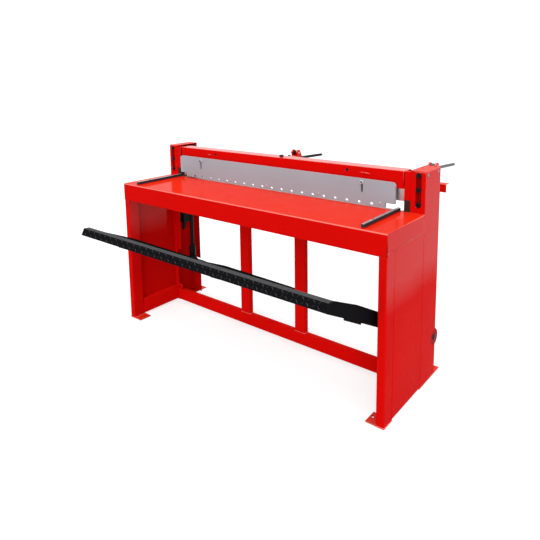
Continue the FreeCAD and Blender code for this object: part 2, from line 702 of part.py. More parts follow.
def column_caps():
    """Lids on the columns, with a skirt inside the web, and their screws."""
    screws = []
    for side, sign in SIDES:
        across = (sign * COLUMN_INSIDE, sign * HALF)
        front, rear = back(COLUMN_FRONT), back(COLUMN_REAR)
        hole = (sign * (HALF - S.column_flange * 3 / 4), (front + rear) / 2 + S.cap_hole_offset,
                S.cap_hole_radius)
        lid = plate(f"{side}_lid", "z", (COLUMN_TOP, CREST),
                    [rectangle(across, (front, rear))], [hole])
        skirt = box(f"{side}_skirt", (sign * (WEB_INSIDE - S.frame_sheet), sign * WEB_INSIDE),
                    (front + S.frame_sheet, rear - S.frame_sheet), (COLUMN_TOP - S.cap_skirt, COLUMN_TOP))
        level = CREST - S.cap_screw_drop
        bores = []
        for number in range(2):
            along = back(COLUMN_FRONT + S.cap_screw_front + number * S.cap_screw_pitch)
            shank = rod(f"{side}_cap_bore_{number}", "x", (sign * (WEB_INSIDE - S.frame_sheet), sign * HALF),
                        (along, level), S.cap_screw_radius)
            bores.append(shank)
            head = rod(f"{side}_cap_head_{number}", "x", (sign * HALF, sign * (HALF + S.cap_head_height)),
                       (along, level), S.cap_head_radius)
            screws.append(fuse(f"{side}_cap_screw_{number}", shank, head))
        node(f"{side}_column_cap", cut(f"{side}_cap_body", fuse(f"{side}_cap_blank", lid, skirt), *bores))
        holed = cut(f"{side}_column_drilled", nodes[f"{side}_column"], *bores)
        node(f"{side}_column", holed)
    node("cap_screws", group("cap_screw_set", screws))


def foot_plates():
    """Four plates on the floor with anchor holes."""
    plates = []
    for side, sign in SIDES:
        front_x = (sign * (HALF - S.front_foot_width), sign * HALF)
        front_y = (back(S.foot_setback), back(S.foot_setback + S.front_foot_depth))
        front_hole = (sign * (HALF - S.front_foot_hole_inset), back(S.front_foot_hole_back),
                      S.anchor_hole_radius)
        plates.append(plate(f"{side}_front_foot", "z", (ZERO, S.foot_thickness),
                            [rectangle(front_x, front_y)], [front_hole]))
        rear_x = (sign * (HALF - S.rear_foot_width), sign * HALF)
        rear_y = (back(COLUMN_FRONT), back(COLUMN_REAR + S.rear_foot_tongue))
        rear_hole = (sign * (HALF - S.rear_foot_hole_inset), back(COLUMN_REAR + S.rear_foot_tongue / 2),
                     S.anchor_hole_radius)
        plates.append(plate(f"{side}_rear_foot", "z", (ZERO, S.foot_thickness),
                            [rectangle(rear_x, rear_y)], [rear_hole]))
    node("foot_plates", group("foot_plate_set", plates))


def cross_rail():
    """Channel between the sides; its flanges stop short of the columns."""
    front = back(COLUMN_FRONT - S.cross_rail_lead)
    web_back = front + S.frame_sheet
    inside = HALF - S.leg_width
    web = box("rail_web", (-inside, inside), (front, web_back), (S.cross_rail_bottom, S.cross_rail_top))
    reach = (web_back, front + S.cross_rail_depth)
    top = box("rail_top", (-COLUMN_INSIDE, COLUMN_INSIDE), reach,
              (S.cross_rail_top - S.frame_sheet, S.cross_rail_top))
    bottom = box("rail_bottom", (-COLUMN_INSIDE, COLUMN_INSIDE), reach,
                 (S.cross_rail_bottom, S.cross_rail_bottom + S.frame_sheet))
    node("cross_rail", fuse("cross_rail_body", web, top, bottom))


def support_posts():
    """Square tubes from the cross rail to the blade beam."""
    posts = []
    front = back(COLUMN_FRONT - S.cross_rail_lead)
    for side, share in (("left", S.left_post_share), ("right", S.right_post_share)):
        centre, reach = HALF * share, S.post_width / 2
        outer = rectangle((centre - reach, centre + reach), (front, front + S.post_depth))
        inner = rectangle((centre - reach + S.frame_sheet, centre + reach - S.frame_sheet),
                          (front + S.frame_sheet, front + S.post_depth - S.frame_sheet))
        posts.append(plate(f"{side}_post", "z", (S.cross_rail_top, BEAM_BOTTOM), [outer, inner]))
    node("support_posts", group("support_post_set", posts))


def screw_places():
    """Positions of the blade screws along the blades."""
    count = int(S.blade_screw_count.value)
    middle = (S.blade_screw_count - 1) / 2
    reach = BLADE_HALF - S.blade_screw_margin
    return [(Size.of(number) - middle) * reach / middle for number in range(count)]


def blade_beam():
    """Angle under the table that carries the fixed blade."""
    seat = back(COLUMN_FRONT)
    front = seat - S.beam_thickness
    across = (-COLUMN_INSIDE - S.column_flange / 2, COLUMN_INSIDE + S.column_flange / 2)
    wall = box("beam_wall", across, (front, seat), (BEAM_BOTTOM, TABLE_UNDER))
    foot = box("beam_foot", (-COLUMN_INSIDE, COLUMN_INSIDE), (seat, front + S.beam_foot_depth),
               (BEAM_BOTTOM, BEAM_BOTTOM + S.beam_thickness))
    bores = []
    level = S.table_height - S.lower_blade_height / 2
    for number, across_at in enumerate(screw_places()):
        bores.append(rod(f"beam_bore_{number}", "y", (front, seat), (across_at, level),
                         S.blade_screw_radius))
    node("blade_beam", cut("blade_beam_body", fuse("beam_blank", wall, foot), *bores))


def lower_blade():
    """Fixed blade with counterbored screws from behind."""
    seat, face = back(COLUMN_FRONT), back(S.shear_line)
    level = S.table_height - S.lower_blade_height / 2
    outline = rectangle((-BLADE_HALF, BLADE_HALF), (S.table_height - S.lower_blade_height, S.table_height))
    places = screw_places()
    body = plate("lower_bar", "y", (seat, face), [outline],
                 [(across, level, S.blade_screw_radius) for across in places])
    add_pad(body, "lower_counterbores", "y", (face - S.blade_head_depth, face),
            circles=[(across, level, S.blade_head_radius + S.screw_seat) for across in places],
            kind="Pocket")
    node("lower_blade", body)
    screws = []
    for number, across in enumerate(places):
        shank = rod(f"lower_shank_{number}", "y",
                    (seat - S.beam_thickness, face - S.blade_head_depth), (across, level),
                    S.blade_screw_radius)
        head = rod(f"lower_head_{number}", "y", (face - S.blade_head_depth, face - S.screw_seat),
                   (across, level), S.blade_head_radius)
        screws.append(fuse(f"lower_screw_{number}", shank, head))
    node("lower_blade_screws", group("lower_screw_set", screws))


def edge_level(across):
    """Height of the upper cutting edge at one place along the blade."""
    rise = S.opening_right - S.opening_left
    return S.table_height + S.opening_left + rise * (across + BLADE_HALF) / (BLADE_HALF * 2)


def upper_blade():
    """Moving blade, raked so that it cuts from left to right."""
    front, seat = back(UPPER_BLADE_FRONT), back(UPPER_BLADE_REAR)
    low = [edge_level(-BLADE_HALF), edge_level(BLADE_HALF)]
    outline = [(-BLADE_HALF, low[0]), (BLADE_HALF, low[1]),
               (BLADE_HALF, low[1] + S.upper_blade_height), (-BLADE_HALF, low[0] + S.upper_blade_height)]
    places = [(across, edge_level(across) + S.upper_blade_height / 2) for across in screw_places()]
    body = plate("upper_bar", "y", (front, seat), [outline],
                 [(across, level, S.blade_screw_radius) for across, level in places])
    add_pad(body, "upper_counterbores", "y", (front, front + S.blade_head_depth),
            circles=[(across, level, S.blade_head_radius + S.screw_seat) for across, level in places],
            kind="Pocket")
    node("upper_blade", body)
    screws = []
    for number, spot in enumerate(places):
        shank = rod(f"upper_shank_{number}", "y", (front + S.blade_head_depth, back(RAM_BACK)), spot,
                    S.blade_screw_radius)
        head = rod(f"upper_head_{number}", "y", (front + S.screw_seat, front + S.blade_head_depth), spot,
                   S.blade_head_radius)
        screws.append(fuse(f"upper_screw_{number}", shank, head))
    node("upper_blade_screws", group("upper_screw_set", screws))


def ram_beam():
    """Welded ram: skirt, step on the blade, back plate, top flange with lip, ribs and face bosses."""
    face, blade_back, rear = back(RAM_FACE), back(UPPER_BLADE_REAR), back(RAM_BACK)
    under = RAM_TOP - S.ram_sheet
    ends = (-BLADE_HALF, BLADE_HALF)
    step = [edge_level(end) + S.upper_blade_height for end in ends]
    body = doc.addObject("PartDesign::Body", "ram_welded")

    def raked(lower, upper):
        """Outline between the blade top moved by two distances, or up to the top flange."""
        tops = [under, under] if upper is None else [level + upper for level in step]
        return [(ends[0], step[0] + lower), (ends[1], step[1] + lower), (ends[1], tops[1]),
                (ends[0], tops[0])]

    bores = [(across, edge_level(across) + S.upper_blade_height / 2, S.blade_screw_radius)
             for across in screw_places()]
    sockets = [(sign * PLUG_REACH, PLUG_LEVEL, S.plug_radius) for _, sign in SIDES]
    shoulders = [(across, SHOULDER_LEVEL, S.shoulder_radius) for across in SHOULDERS]
    seats = [(sign * ROD_REACH, ROD_LEVEL, S.gauge_rod_radius) for _, sign in SIDES]
    add_pad(body, "ram_skirt", "y", (face, face + S.ram_sheet), [raked(ZERO, None)],
            circles=sockets + shoulders)
    add_pad(body, "ram_step", "y", (face + S.ram_sheet, blade_back), [raked(ZERO, S.ram_sheet)])
    add_pad(body, "ram_back_plate", "y", (blade_back, rear), [raked(-S.ram_web_drop, None)],
            circles=bores + seats)
    add_pad(body, "ram_top_flange", "y", (face, back(S.ram_flange_back)),
            [rectangle(ends, (under, RAM_TOP))])
    lip = back(S.ram_flange_back)
    add_pad(body, "ram_rear_lip", "y", (lip - S.ram_sheet, lip),
            [rectangle(ends, (under - S.ram_lip, under))])
    bosses = []
    level = CREST - S.face_boss_drop
    for side, middle in (("left", S.left_boss_inset - HALF), ("right", HALF - S.right_boss_inset)):
        reach = S.face_boss_length / 2
        bosses.append(box(f"{side}_face_boss", (middle - reach, middle + reach),
                          (face - S.face_boss_proud, face),
                          (level - S.face_boss_height / 2, level + S.face_boss_height / 2)))
    node("ram_beam", fuse("ram_beam_body", body, *bosses))
    ribs = []
    middle = (S.rib_count - 1) / 2
    for number in range(int(S.rib_count.value)):
        across = (Size.of(number) - middle) * (BLADE_HALF - S.rib_margin) / middle
        ribs.append(plate(f"ram_rib_{number}", "x", (across - S.ram_sheet / 2, across + S.ram_sheet / 2),
                          [[(rear, under - S.rib_height), (lip - S.ram_sheet, under - S.ram_lip),
                            (lip - S.ram_sheet, under), (rear, under)]]))
    node("ram_ribs", group("ram_rib_set", ribs))
    plugs = [rod(f"{side}_socket_screw", "y", (face + S.plug_recess, face + S.ram_sheet),
                 (sign * PLUG_REACH, PLUG_LEVEL), S.plug_radius) for side, sign in SIDES]
    node("socket_screws", group("socket_screw_set", plugs))


def ram_shoes():
    """Sliding shoes at the ends of the ram, with the lugs that pull the link rods."""
    for side, sign in SIDES:
        inner, outer = sign * BLADE_HALF, sign * (HALF - S.shoe_outer)
        front, rear = back(SHOE_FRONT), back(SHOE_REAR)
        shoe = box(f"{side}_shoe_block", (inner, outer), (front, rear), (SHOE_BOTTOM, CREST - S.shoe_drop))
        centre = sign * LINK_X
        reach = S.link_lug_width / 2
        lug = box(f"{side}_link_lug", (centre - reach, centre + reach), (rear, rear + S.link_lug_depth),
                  (LUG_BOTTOM, LUG_TOP))
        bore = rod(f"{side}_link_bore", "z", (LUG_BOTTOM, LUG_TOP),
                   (centre, back(link_back())), S.link_rod_radius)
        node(f"{side}_ram_shoe", cut(f"{side}_shoe_body", fuse(f"{side}_shoe_blank", shoe, lug), bore))


def link_back():
    """Depth of the link pins, on the slope of the treadle arms."""
    reach = Size(f"({S.lever_radius.text} * cos({S.treadle_angle.text} * 1 deg))",
                 S.lever_radius.value * math.cos(math.radians(S.treadle_angle.value)))
    return S.pivot_back - reach


def link_level():
    """Height of the link pins at rest."""
    rise = Size(f"({S.lever_radius.text} * sin({S.treadle_angle.text} * 1 deg))",
                S.lever_radius.value * math.sin(math.radians(S.treadle_angle.value)))
    return S.pivot_height + rise


def link_rods():
    """Rods from the ram to the treadle, each with a sleeve and a slotted eye."""
    along, pin_level = back(link_back()), link_level()
    nuts = []
    for side, sign in SIDES:
        centre = sign * LINK_X
        pull = rod(f"{side}_pull_rod", "z", (S.link_sleeve_top, CREST - S.link_rod_drop), (centre, along),
                   S.link_rod_radius)
        node(f"{side}_link_rod", pull)
        sleeve = rod(f"{side}_fork_sleeve", "z", (S.link_sleeve_bottom, S.link_sleeve_top), (centre, along),
                     S.link_sleeve_radius)
        wide, round_end = S.link_eye_radius, S.link_eye_radius - S.link_pin_play
        hole_x = (centre - S.link_eye_width / 2, centre + S.link_eye_width / 2)
        eye = plate(f"{side}_eye_plate", "x", hole_x,
                    [[(along - wide - S.link_slide, pin_level - wide, round_end),
                      (along + wide, pin_level - wide, round_end),
                      (along + wide, pin_level + S.link_pin_radius),
                      (along + S.link_sleeve_radius, S.link_sleeve_bottom),
                      (along - S.link_sleeve_radius, S.link_sleeve_bottom),
                      (along - wide - S.link_slide, pin_level + S.link_pin_radius)]])
        bore = S.link_pin_radius + S.link_pin_play
        near = rod(f"{side}_eye_near", "x", hole_x, (along, pin_level), bore)
        far = rod(f"{side}_eye_far", "x", hole_x, (along - S.link_slide, pin_level), bore)
        middle = box(f"{side}_eye_middle", hole_x, (along - S.link_slide, along),
                     (pin_level - bore, pin_level + bore))
        slotted = cut(f"{side}_slotted_eye", eye, near, far, middle)
        node(f"{side}_link_fork", fuse(f"{side}_fork_body", sleeve, slotted))
        for place_name, level in (("upper", LUG_TOP), ("lower", LUG_BOTTOM - S.link_nut_height)):
            nut = doc.addObject("Part::Prism", f"{side}_{place_name}_nut_blank")
            nut.Polygon = 6
            bind(nut, "Circumradius", S.link_nut_radius)
            bind(nut, "Height", S.link_nut_height)
            place(nut, centre, along, level)
            thread = rod(f"{side}_{place_name}_nut_bore", "z", (level, level + S.link_nut_height),
                         (centre, along), S.link_rod_radius)
            nuts.append(cut(f"{side}_{place_name}_nut", nut, thread))
    node("link_nuts", group("link_nut_set", nuts))


def guides():
    """Front and rear guide bars in the columns, with their adjusting bolts."""
    bolts, rear_bars = [], []
    for side, sign in SIDES:
        front, rear = back(GUIDE_FRONT), back(GUIDE_REAR)
        across = (sign * GUIDE_INNER, sign * (HALF - S.guide_edge))
        bar = box(f"{side}_front_bar", across, (front, rear),
                  (S.table_height - S.guide_low, RAM_TOP))
        bores = []
        lowest = S.table_height + S.guide_bolt_low
        pitch = (CREST - S.guide_bolt_drop - lowest) / 2
        for number in range(3):
            spot = (sign * (HALF - S.column_slot_inset), lowest + number * pitch)
            shank = rod(f"{side}_guide_shank_{number}", "y", (front, rear - S.frame_sheet), spot,
                        S.guide_bolt_radius)
            head = rod(f"{side}_guide_head_{number}", "y", (front - S.guide_head_height, front), spot,
                       S.guide_head_radius)
            bores.append(shank)
            bolts.append(fuse(f"{side}_guide_bolt_{number}", shank, head))
        node(f"{side}_front_guide", cut(f"{side}_guide_body", bar, *bores))
        rear_face = back(SHOE_REAR) + S.slide_play
        rear_x = (sign * (WEB_INSIDE - S.rear_guide_width), sign * WEB_INSIDE)
        upright = box(f"{side}_rear_bar", rear_x, (rear_face, rear_face + S.rear_guide_depth),
                      (SPRING_SEAT - S.spring_ledge, COLUMN_TOP - S.cap_skirt))
        ledge = box(f"{side}_spring_ledge", rear_x, (back(SHOE_FRONT), rear_face),
                    (SPRING_SEAT - S.spring_ledge, SPRING_SEAT))
        rear_bars.append(fuse(f"{side}_rear_guide", upright, ledge))
    node("guide_bolts", group("guide_bolt_set", bolts))
    node("rear_guides", group("rear_guide_set", rear_bars))


def return_springs():
    """Coil springs under the shoes that lift the ram."""
    coils = []
    for side, sign in SIDES:
        centre = sign * (HALF - S.shoe_outer - S.spring_radius - S.spring_wire_radius - S.spring_edge)
        free = SHOE_BOTTOM - SPRING_SEAT - (S.spring_wire_radius + S.spring_play) * 2
        path = doc.addObject("Part::Helix", f"{side}_coil_path")
        bind(path, "Radius", S.spring_radius)
        bind(path, "Height", free)
        bind(path, "Pitch", free / S.spring_turns)
        path.SegmentLength = 1.0
        wire = doc.addObject("Part::Circle", f"{side}_coil_wire")
        bind(wire, "Radius", S.spring_wire_radius)
        wire.Placement = FreeCAD.Placement(FreeCAD.Vector(S.spring_radius.value, 0, 0),
                                           FreeCAD.Rotation(FreeCAD.Vector(1, 0, 0), 90))
        bind(wire, ".Placement.Base.x", S.spring_radius)
        coil = doc.addObject("Part::Sweep", f"{side}_coil")
        coil.Sections = [wire]
        coil.Spine = (path, [f"Edge{index + 1}" for index in range(int(S.spring_turns.value))])
        coil.Solid = True
        coil.Frenet = True
        middle = back((SHOE_FRONT + SHOE_REAR) / 2)
        place(coil, centre, middle, SPRING_SEAT + S.spring_wire_radius + S.spring_play)
        coils.append(coil)
    node("return_springs", group("return_spring_set", coils))


def hold_down_guard():
    """Thick plate in front of the ram that drops onto the sheet, with sight holes and slots."""
    tabs = (GUARD_LEFT + S.guard_tab, GUARD_RIGHT - S.guard_tab)
    step = GUARD_BOTTOM + S.guard_tab_step
    outline = [
        (tabs[0], GUARD_BOTTOM),
        (tabs[1], GUARD_BOTTOM),
        (tabs[1], step),
        (GUARD_RIGHT, step),
        (GUARD_RIGHT, GUARD_TOP, S.guard_corner),
        (GUARD_LEFT, GUARD_TOP, S.guard_corner),
        (GUARD_LEFT, step),
        (tabs[0], step),
    ]
    play = S.shoulder_radius + S.shoulder_play
    low = SHOULDER_LEVEL - GUARD_TRAVEL - S.slot_spare
    slots = [(across, low, SHOULDER_LEVEL, play) for across in SHOULDERS]
    span = (back(GUARD_FRONT), back(GUARD_BACK))
    body = plate("guard_plate", "y", span, [outline], slots=slots)
    first = GUARD_LEFT + S.sight_hole_margin
    hole = add_pad(body, "sight_hole", "y", span, kind="Pocket",
                   circles=[(first, GUARD_BOTTOM + S.sight_hole_rise, S.sight_hole_radius)])
    repeat(body, hole, "sight_hole_row", "YZ_Plane", GUARD_RIGHT - S.sight_hole_margin - first,
           S.sight_hole_count)
    bores, screws = [], []
    centre, half = (GUARD_LEFT + GUARD_RIGHT) / 2, (GUARD_RIGHT - GUARD_LEFT) / 2
    for number, share in enumerate((-0.89, -0.42, -0.05, 0.41, 0.88)):
        spot = (centre + half * share, GUARD_BOTTOM + S.guard_screw_rise)
        shank = rod(f"guard_shank_{number}", "y", (span[0], span[0] + S.guard_thickness / 2), spot,
                    S.guard_screw_radius)
        head = rod(f"guard_head_{number}", "y", (span[0] - S.guard_button_height, span[0]), spot,
                   S.guard_button_radius)
        bores.append(shank)
        screws.append(fuse(f"guard_screw_{number}", shank, head))
    node("hold_down_guard", cut("guard_body", body, *bores))
    node("guard_screws", group("guard_screw_set", screws))


def shoulder_bolts():
    """Bolts in the ram that carry the guard in its slots."""
    bolts = []
    for (side, _), across in zip(SIDES, SHOULDERS):
        spot = (across, SHOULDER_LEVEL)
        front = back(GUARD_FRONT) - S.shoulder_play
        shank = rod(f"{side}_shoulder", "y", (front, back(RAM_FACE) + S.ram_sheet), spot, S.shoulder_radius)
        head = rod(f"{side}_shoulder_head", "y", (front - S.shoulder_head_height, front), spot,
                   S.shoulder_head_radius)
        bolts.append(fuse(f"{side}_shoulder_bolt", shank, head))
    node("shoulder_bolts", group("shoulder_bolt_set", bolts))


def squaring_bars():
    """Side stops seated in the table, with sunk screws."""
    screws = []
    seat = S.table_height - S.square_seat_depth
    top = S.table_height + S.square_bar_height
    for side, sign in SIDES:
        centre = sign * (HALF - S.square_bar_inset)
        reach = S.square_bar_width / 2
        bar = box(f"{side}_bar_blank", (centre - reach, centre + reach),
                  (back(S.square_bar_front), back(S.square_bar_back)), (seat, top))
        bores = []
        well_floor = top - S.square_head_height
        for number, along in enumerate((S.square_hole_front, S.square_hole_back)):
            spot = (centre, back(along))
            shank = rod(f"{side}_square_shank_{number}", "z", (seat, well_floor), spot,
                        S.square_shank_radius)
            well = rod(f"{side}_square_well_{number}", "z", (well_floor, top), spot,
                       S.square_head_radius + S.screw_seat)
            head = rod(f"{side}_square_head_{number}", "z", (well_floor, top - S.screw_seat), spot,
                       S.square_head_radius)
            bores += [shank, well]
            screws.append(fuse(f"{side}_square_screw_{number}", shank, head))
        node(f"{side}_squaring_bar", cut(f"{side}_square_body", bar, *bores))
    node("squaring_screws", group("squaring_screw_set", screws))


def pivot_bearings():
    """Flanged bearings of the treadle, bolted inside the column webs."""
    bearings = []
    spot = (back(S.pivot_back), S.pivot_height)
    for side, sign in SIDES:
        web, outside = sign * WEB_INSIDE, sign * HALF
        flange_in = sign * (WEB_INSIDE - S.bearing_flange)
        hub_in = sign * (WEB_INSIDE - S.bearing_flange - S.bearing_hub_length)
        boss = rod(f"{side}_bearing_boss", "x", (web, outside), spot, S.notch_radius - S.bearing_play)
        flange = rod(f"{side}_bearing_flange", "x", (flange_in, web), spot, S.bearing_flange_radius)
        hub = rod(f"{side}_bearing_hub", "x", (hub_in, flange_in), spot, S.bearing_hub_radius)
        bore = rod(f"{side}_bearing_bore", "x", (hub_in, outside), spot, S.pivot_radius + S.pivot_play)
        blank = fuse(f"{side}_bearing_blank", boss, flange, hub)
        bearings.append(cut(f"{side}_bearing", blank, bore))
    node("pivot_bearings", group("pivot_bearing_set", bearings))


def stop_block():
    """Black block with a tongue inside the left column."""
    outer = -WEB_INSIDE
    front = back(S.stop_front)
    block = box("stop_cube", (outer, outer + S.stop_width), (front, front + S.stop_depth),
                (S.stop_bottom, S.stop_top))
    tongue = box("stop_tongue_plate", (outer, outer + S.stop_width / 3),
                 (front + S.stop_depth / 4, front + S.stop_depth * 0.6),
                 (S.stop_bottom - S.stop_tongue, S.stop_bottom))
    node("stop_block", fuse("stop_block_body", block, tongue))


def rear_tube():
    """Square tube across the back of the columns."""
    front = back(COLUMN_REAR)
    rear = front + S.rear_tube_depth
    bottom = TUBE_TOP - S.rear_tube_height
    outer = rectangle((front, rear), (bottom, TUBE_TOP))
    inner = rectangle((front + S.rear_tube_wall, rear - S.rear_tube_wall),
                      (bottom + S.rear_tube_wall, TUBE_TOP - S.rear_tube_wall))
    reach = HALF - S.rear_tube_inset
    node("rear_cross_tube", plate("rear_tube_profile", "x", (-reach, reach), [outer, inner]))


def rear_brackets():
    """Forked brackets on the rear tube, their pins and the two hinged rest arms."""
    brackets, pins = [], []
    along, level = back(S.bracket_back), CREST - S.bracket_pin_drop
    reach, foot = S.bracket_ear_radius, TUBE_TOP + S.bracket_base
    for name, centre in (("middle", ZERO), ("right", HALF - S.bracket_right_inset)):
        half = S.bracket_width / 2
        parts = [box(f"{name}_bracket_base", (centre - half, centre + half), (along - reach, along + reach),
                     (TUBE_TOP, foot))]
        for number, sign in enumerate((-1, 1)):
            ear_x = (centre + sign * (half - S.bracket_ear), centre + sign * half)
            parts.append(plate(f"{name}_ear_{number}", "x", ear_x, [[
                (along - reach, foot), (along + reach, foot),
                (along + reach, level + reach, S.bracket_ear_round),
                (along - reach, level + reach, S.bracket_ear_round)]]))
        pin_x = (centre - half - S.bracket_pin_tail, centre + half + S.bracket_ear / 4)
        pin = rod(f"{name}_arm_pin", "x", pin_x, (along, level), S.bracket_pin_radius)
        brackets.append(cut(f"{name}_bracket", fuse(f"{name}_bracket_blank", *parts), pin))
        pins.append(pin)
        inside = half - S.bracket_ear - S.rest_hub_play
        hub = rod(f"{name}_arm_hub", "x", (centre - inside, centre + inside), (along, level),
                  S.rest_hub_radius)
        bar = doc.addObject("Part::Cylinder", f"{name}_arm_bar")
        bind(bar, "Radius", S.rest_arm_radius)
        bind(bar, "Height", S.rest_arm_length)
        bar.Placement.Rotation = FreeCAD.Rotation(FreeCAD.Vector(-1, 0, 0), 90 + S.rest_arm_slope.value)
        bind(bar, ".Placement.Rotation.Angle", 90 + S.rest_arm_slope)
        place(bar, centre, along, level)
        bore = rod(f"{name}_arm_bore", "x", (centre - inside, centre + inside), (along, level),
                   S.bracket_pin_radius + S.pivot_play)
        node(f"{name}_rest_arm", cut(f"{name}_arm_body", fuse(f"{name}_arm_blank", hub, bar), bore))
    node("rear_brackets", group("rear_bracket_set", brackets))
    node("rest_arm_pins", group("rest_arm_pin_set", pins))


def gauge():
    """Back gauge: rods screwed into the ram, clamps with knobs and the fence."""
    rods, clamps, knobs = [], [], []
    plate_back = back(RAM_BACK)
    fence_top = FENCE_BOTTOM + S.fence_height
    face = back(S.fence_back)
    for side, sign in SIDES:
        centre = sign * ROD_REACH
        spot = (centre, ROD_LEVEL)
        bar = rod(f"{side}_gauge_bar", "y", (plate_back - S.ram_web, back(S.gauge_rod_end)), spot,
                  S.gauge_rod_radius)
        collar = rod(f"{side}_gauge_collar", "y", (plate_back, plate_back + S.gauge_collar_length), spot,
                     S.gauge_collar_radius)
        rods.append(fuse(f"{side}_gauge_rod", bar, collar))
        half = S.clamp_width / 2
        depth = (face + S.fence_sheet, face + S.fence_sheet + S.clamp_depth)
        block = box(f"{side}_clamp_blank", (centre - half, centre + half), depth, (fence_top, CLAMP_TOP))
        bore = rod(f"{side}_clamp_bore", "y", depth, spot, S.gauge_rod_radius + S.gauge_rod_play)
        middle = (depth[0] + depth[1]) / 2
        tip = centre + sign * (S.gauge_rod_radius + S.bearing_play)
        neck = centre + sign * (half + S.knob_gap)
        screw = rod(f"{side}_knob_screw", "x", (tip, neck), (middle, ROD_LEVEL), S.knob_screw_radius)
        head = rod(f"{side}_knob_head", "x", (neck, neck + sign * S.knob_height), (middle, ROD_LEVEL),
                   S.knob_radius)
        clamps.append(cut(f"{side}_gauge_clamp", block, bore, screw))
        knobs.append(fuse(f"{side}_gauge_knob", screw, head))
    node("gauge_rods", group("gauge_rod_set", rods))
    node("gauge_clamps", group("gauge_clamp_set", clamps))
    node("gauge_knobs", group("gauge_knob_set", knobs))
    profile = [(face, FENCE_BOTTOM), (face + S.fence_sheet, FENCE_BOTTOM),
               (face + S.fence_sheet, fence_top - S.fence_sheet),
               (face + S.fence_depth, fence_top - S.fence_sheet),
               (face + S.fence_depth, fence_top), (face, fence_top)]
    reach = HALF - S.fence_end_inset
    node("gauge_fence", plate("fence_angle", "x", (-reach, reach), [profile]))


def tilt(thing):
    """Turns a treadle piece from its own flat frame to the slope of the arms."""
    thing.Placement.Rotation = FreeCAD.Rotation(FreeCAD.Vector(-1, 0, 0), S.treadle_angle.value)
    bind(thing, ".Placement.Rotation.Angle", S.treadle_angle)
    place(thing, ZERO, back(S.pivot_back), S.pivot_height)
    return thing


def tread_top(reach):
    """Height of the tread surface over the arm axis."""
    fall = S.tread_top_rear - S.tread_top_front
    return S.tread_top_front + fall * (S.tread_reach - reach) / S.tread_depth


def arm_plate(name, across, end_plate, bore):
    """An upright plate from the axis to the tread, drawn along its own slope."""
    rear, nose = S.tread_reach - S.tread_depth, S.tread_reach - S.tread_sheet
    if end_plate:
        front = [(-S.tread_reach, -S.tread_face_drop), (-S.tread_reach, S.tread_top_front),
                 (-rear, S.tread_top_rear)]
    else:
        front = [(-nose, -S.arm_bottom), (-nose, tread_top(nose) - S.tread_sheet),
                 (-rear, S.tread_top_rear - S.tread_sheet), (-rear, S.tread_top_rear)]
    profile = [
        (S.arm_tail, S.arm_tail, S.arm_tail_radius),
        (S.arm_tail, -S.arm_tail, S.arm_tail_radius),
        (-S.arm_taper, -S.arm_bottom),
        (-S.stiffener_start, -S.arm_bottom),
        (-S.stiffener_start, -S.arm_bottom - S.stiffener_drop),
        (-S.stiffener_end, -S.arm_bottom - S.stiffener_drop),
        (-S.stiffener_end, -S.arm_bottom),
        *front,
        (-S.kink_reach, S.arm_top),
        (-S.arm_taper, S.arm_top),
    ]
    holes = [(ZERO, ZERO, bore)]
    if end_plate:
        holes.append((-S.lever_radius, ZERO, S.link_pin_radius))
    return plate(name, "x", across, [profile], holes)


def link_lever(side, sign):
    """An upside-down channel on the shaft; the slotted eye of the link works between its walls."""
    across = (sign * LEVER_INSIDE, sign * LEVER_OUTSIDE)
    low, high = ordered(*across)
    slope = (S.arm_top - S.lever_tail_level) / (S.lever_tail + S.lever_shoulder)
    shell = plate(f"{side}_lever_shell", "x", across, [[
        (S.lever_tail, S.lever_tail_level, S.lever_corner),
        (S.lever_tail, -S.arm_bottom, S.lever_tail_radius),
        (-S.lever_length, -S.arm_bottom), (-S.lever_length, S.arm_top), (-S.lever_shoulder, S.arm_top)]])
    over, deep = S.lever_tail + S.lever_wall, -S.arm_bottom - S.lever_wall
    ceiling = S.arm_top - S.lever_wall
    hollow = plate(f"{side}_lever_hollow", "x", (low + S.lever_wall, high - S.lever_wall), [[
        (over, ceiling - slope * (over + S.lever_shoulder)), (over, deep),
        (-S.lever_length - S.lever_wall, deep), (-S.lever_length - S.lever_wall, ceiling),
        (-S.lever_shoulder, ceiling)]])
    middle, reach = sign * LINK_X, S.link_slot_width / 2
    slot = box(f"{side}_link_slot", (middle - reach, middle + reach), (-S.link_slot_far, -S.link_slot_near),
               (ZERO, S.arm_top))
    shaft = rod(f"{side}_shaft_bore", "x", across, (ZERO, ZERO), S.pivot_radius)
    pin = rod(f"{side}_pin_bore", "x", across, (-S.lever_radius, ZERO), S.link_pin_radius)
    return cut(f"{side}_lever", shell, hollow, slot, shaft, pin)


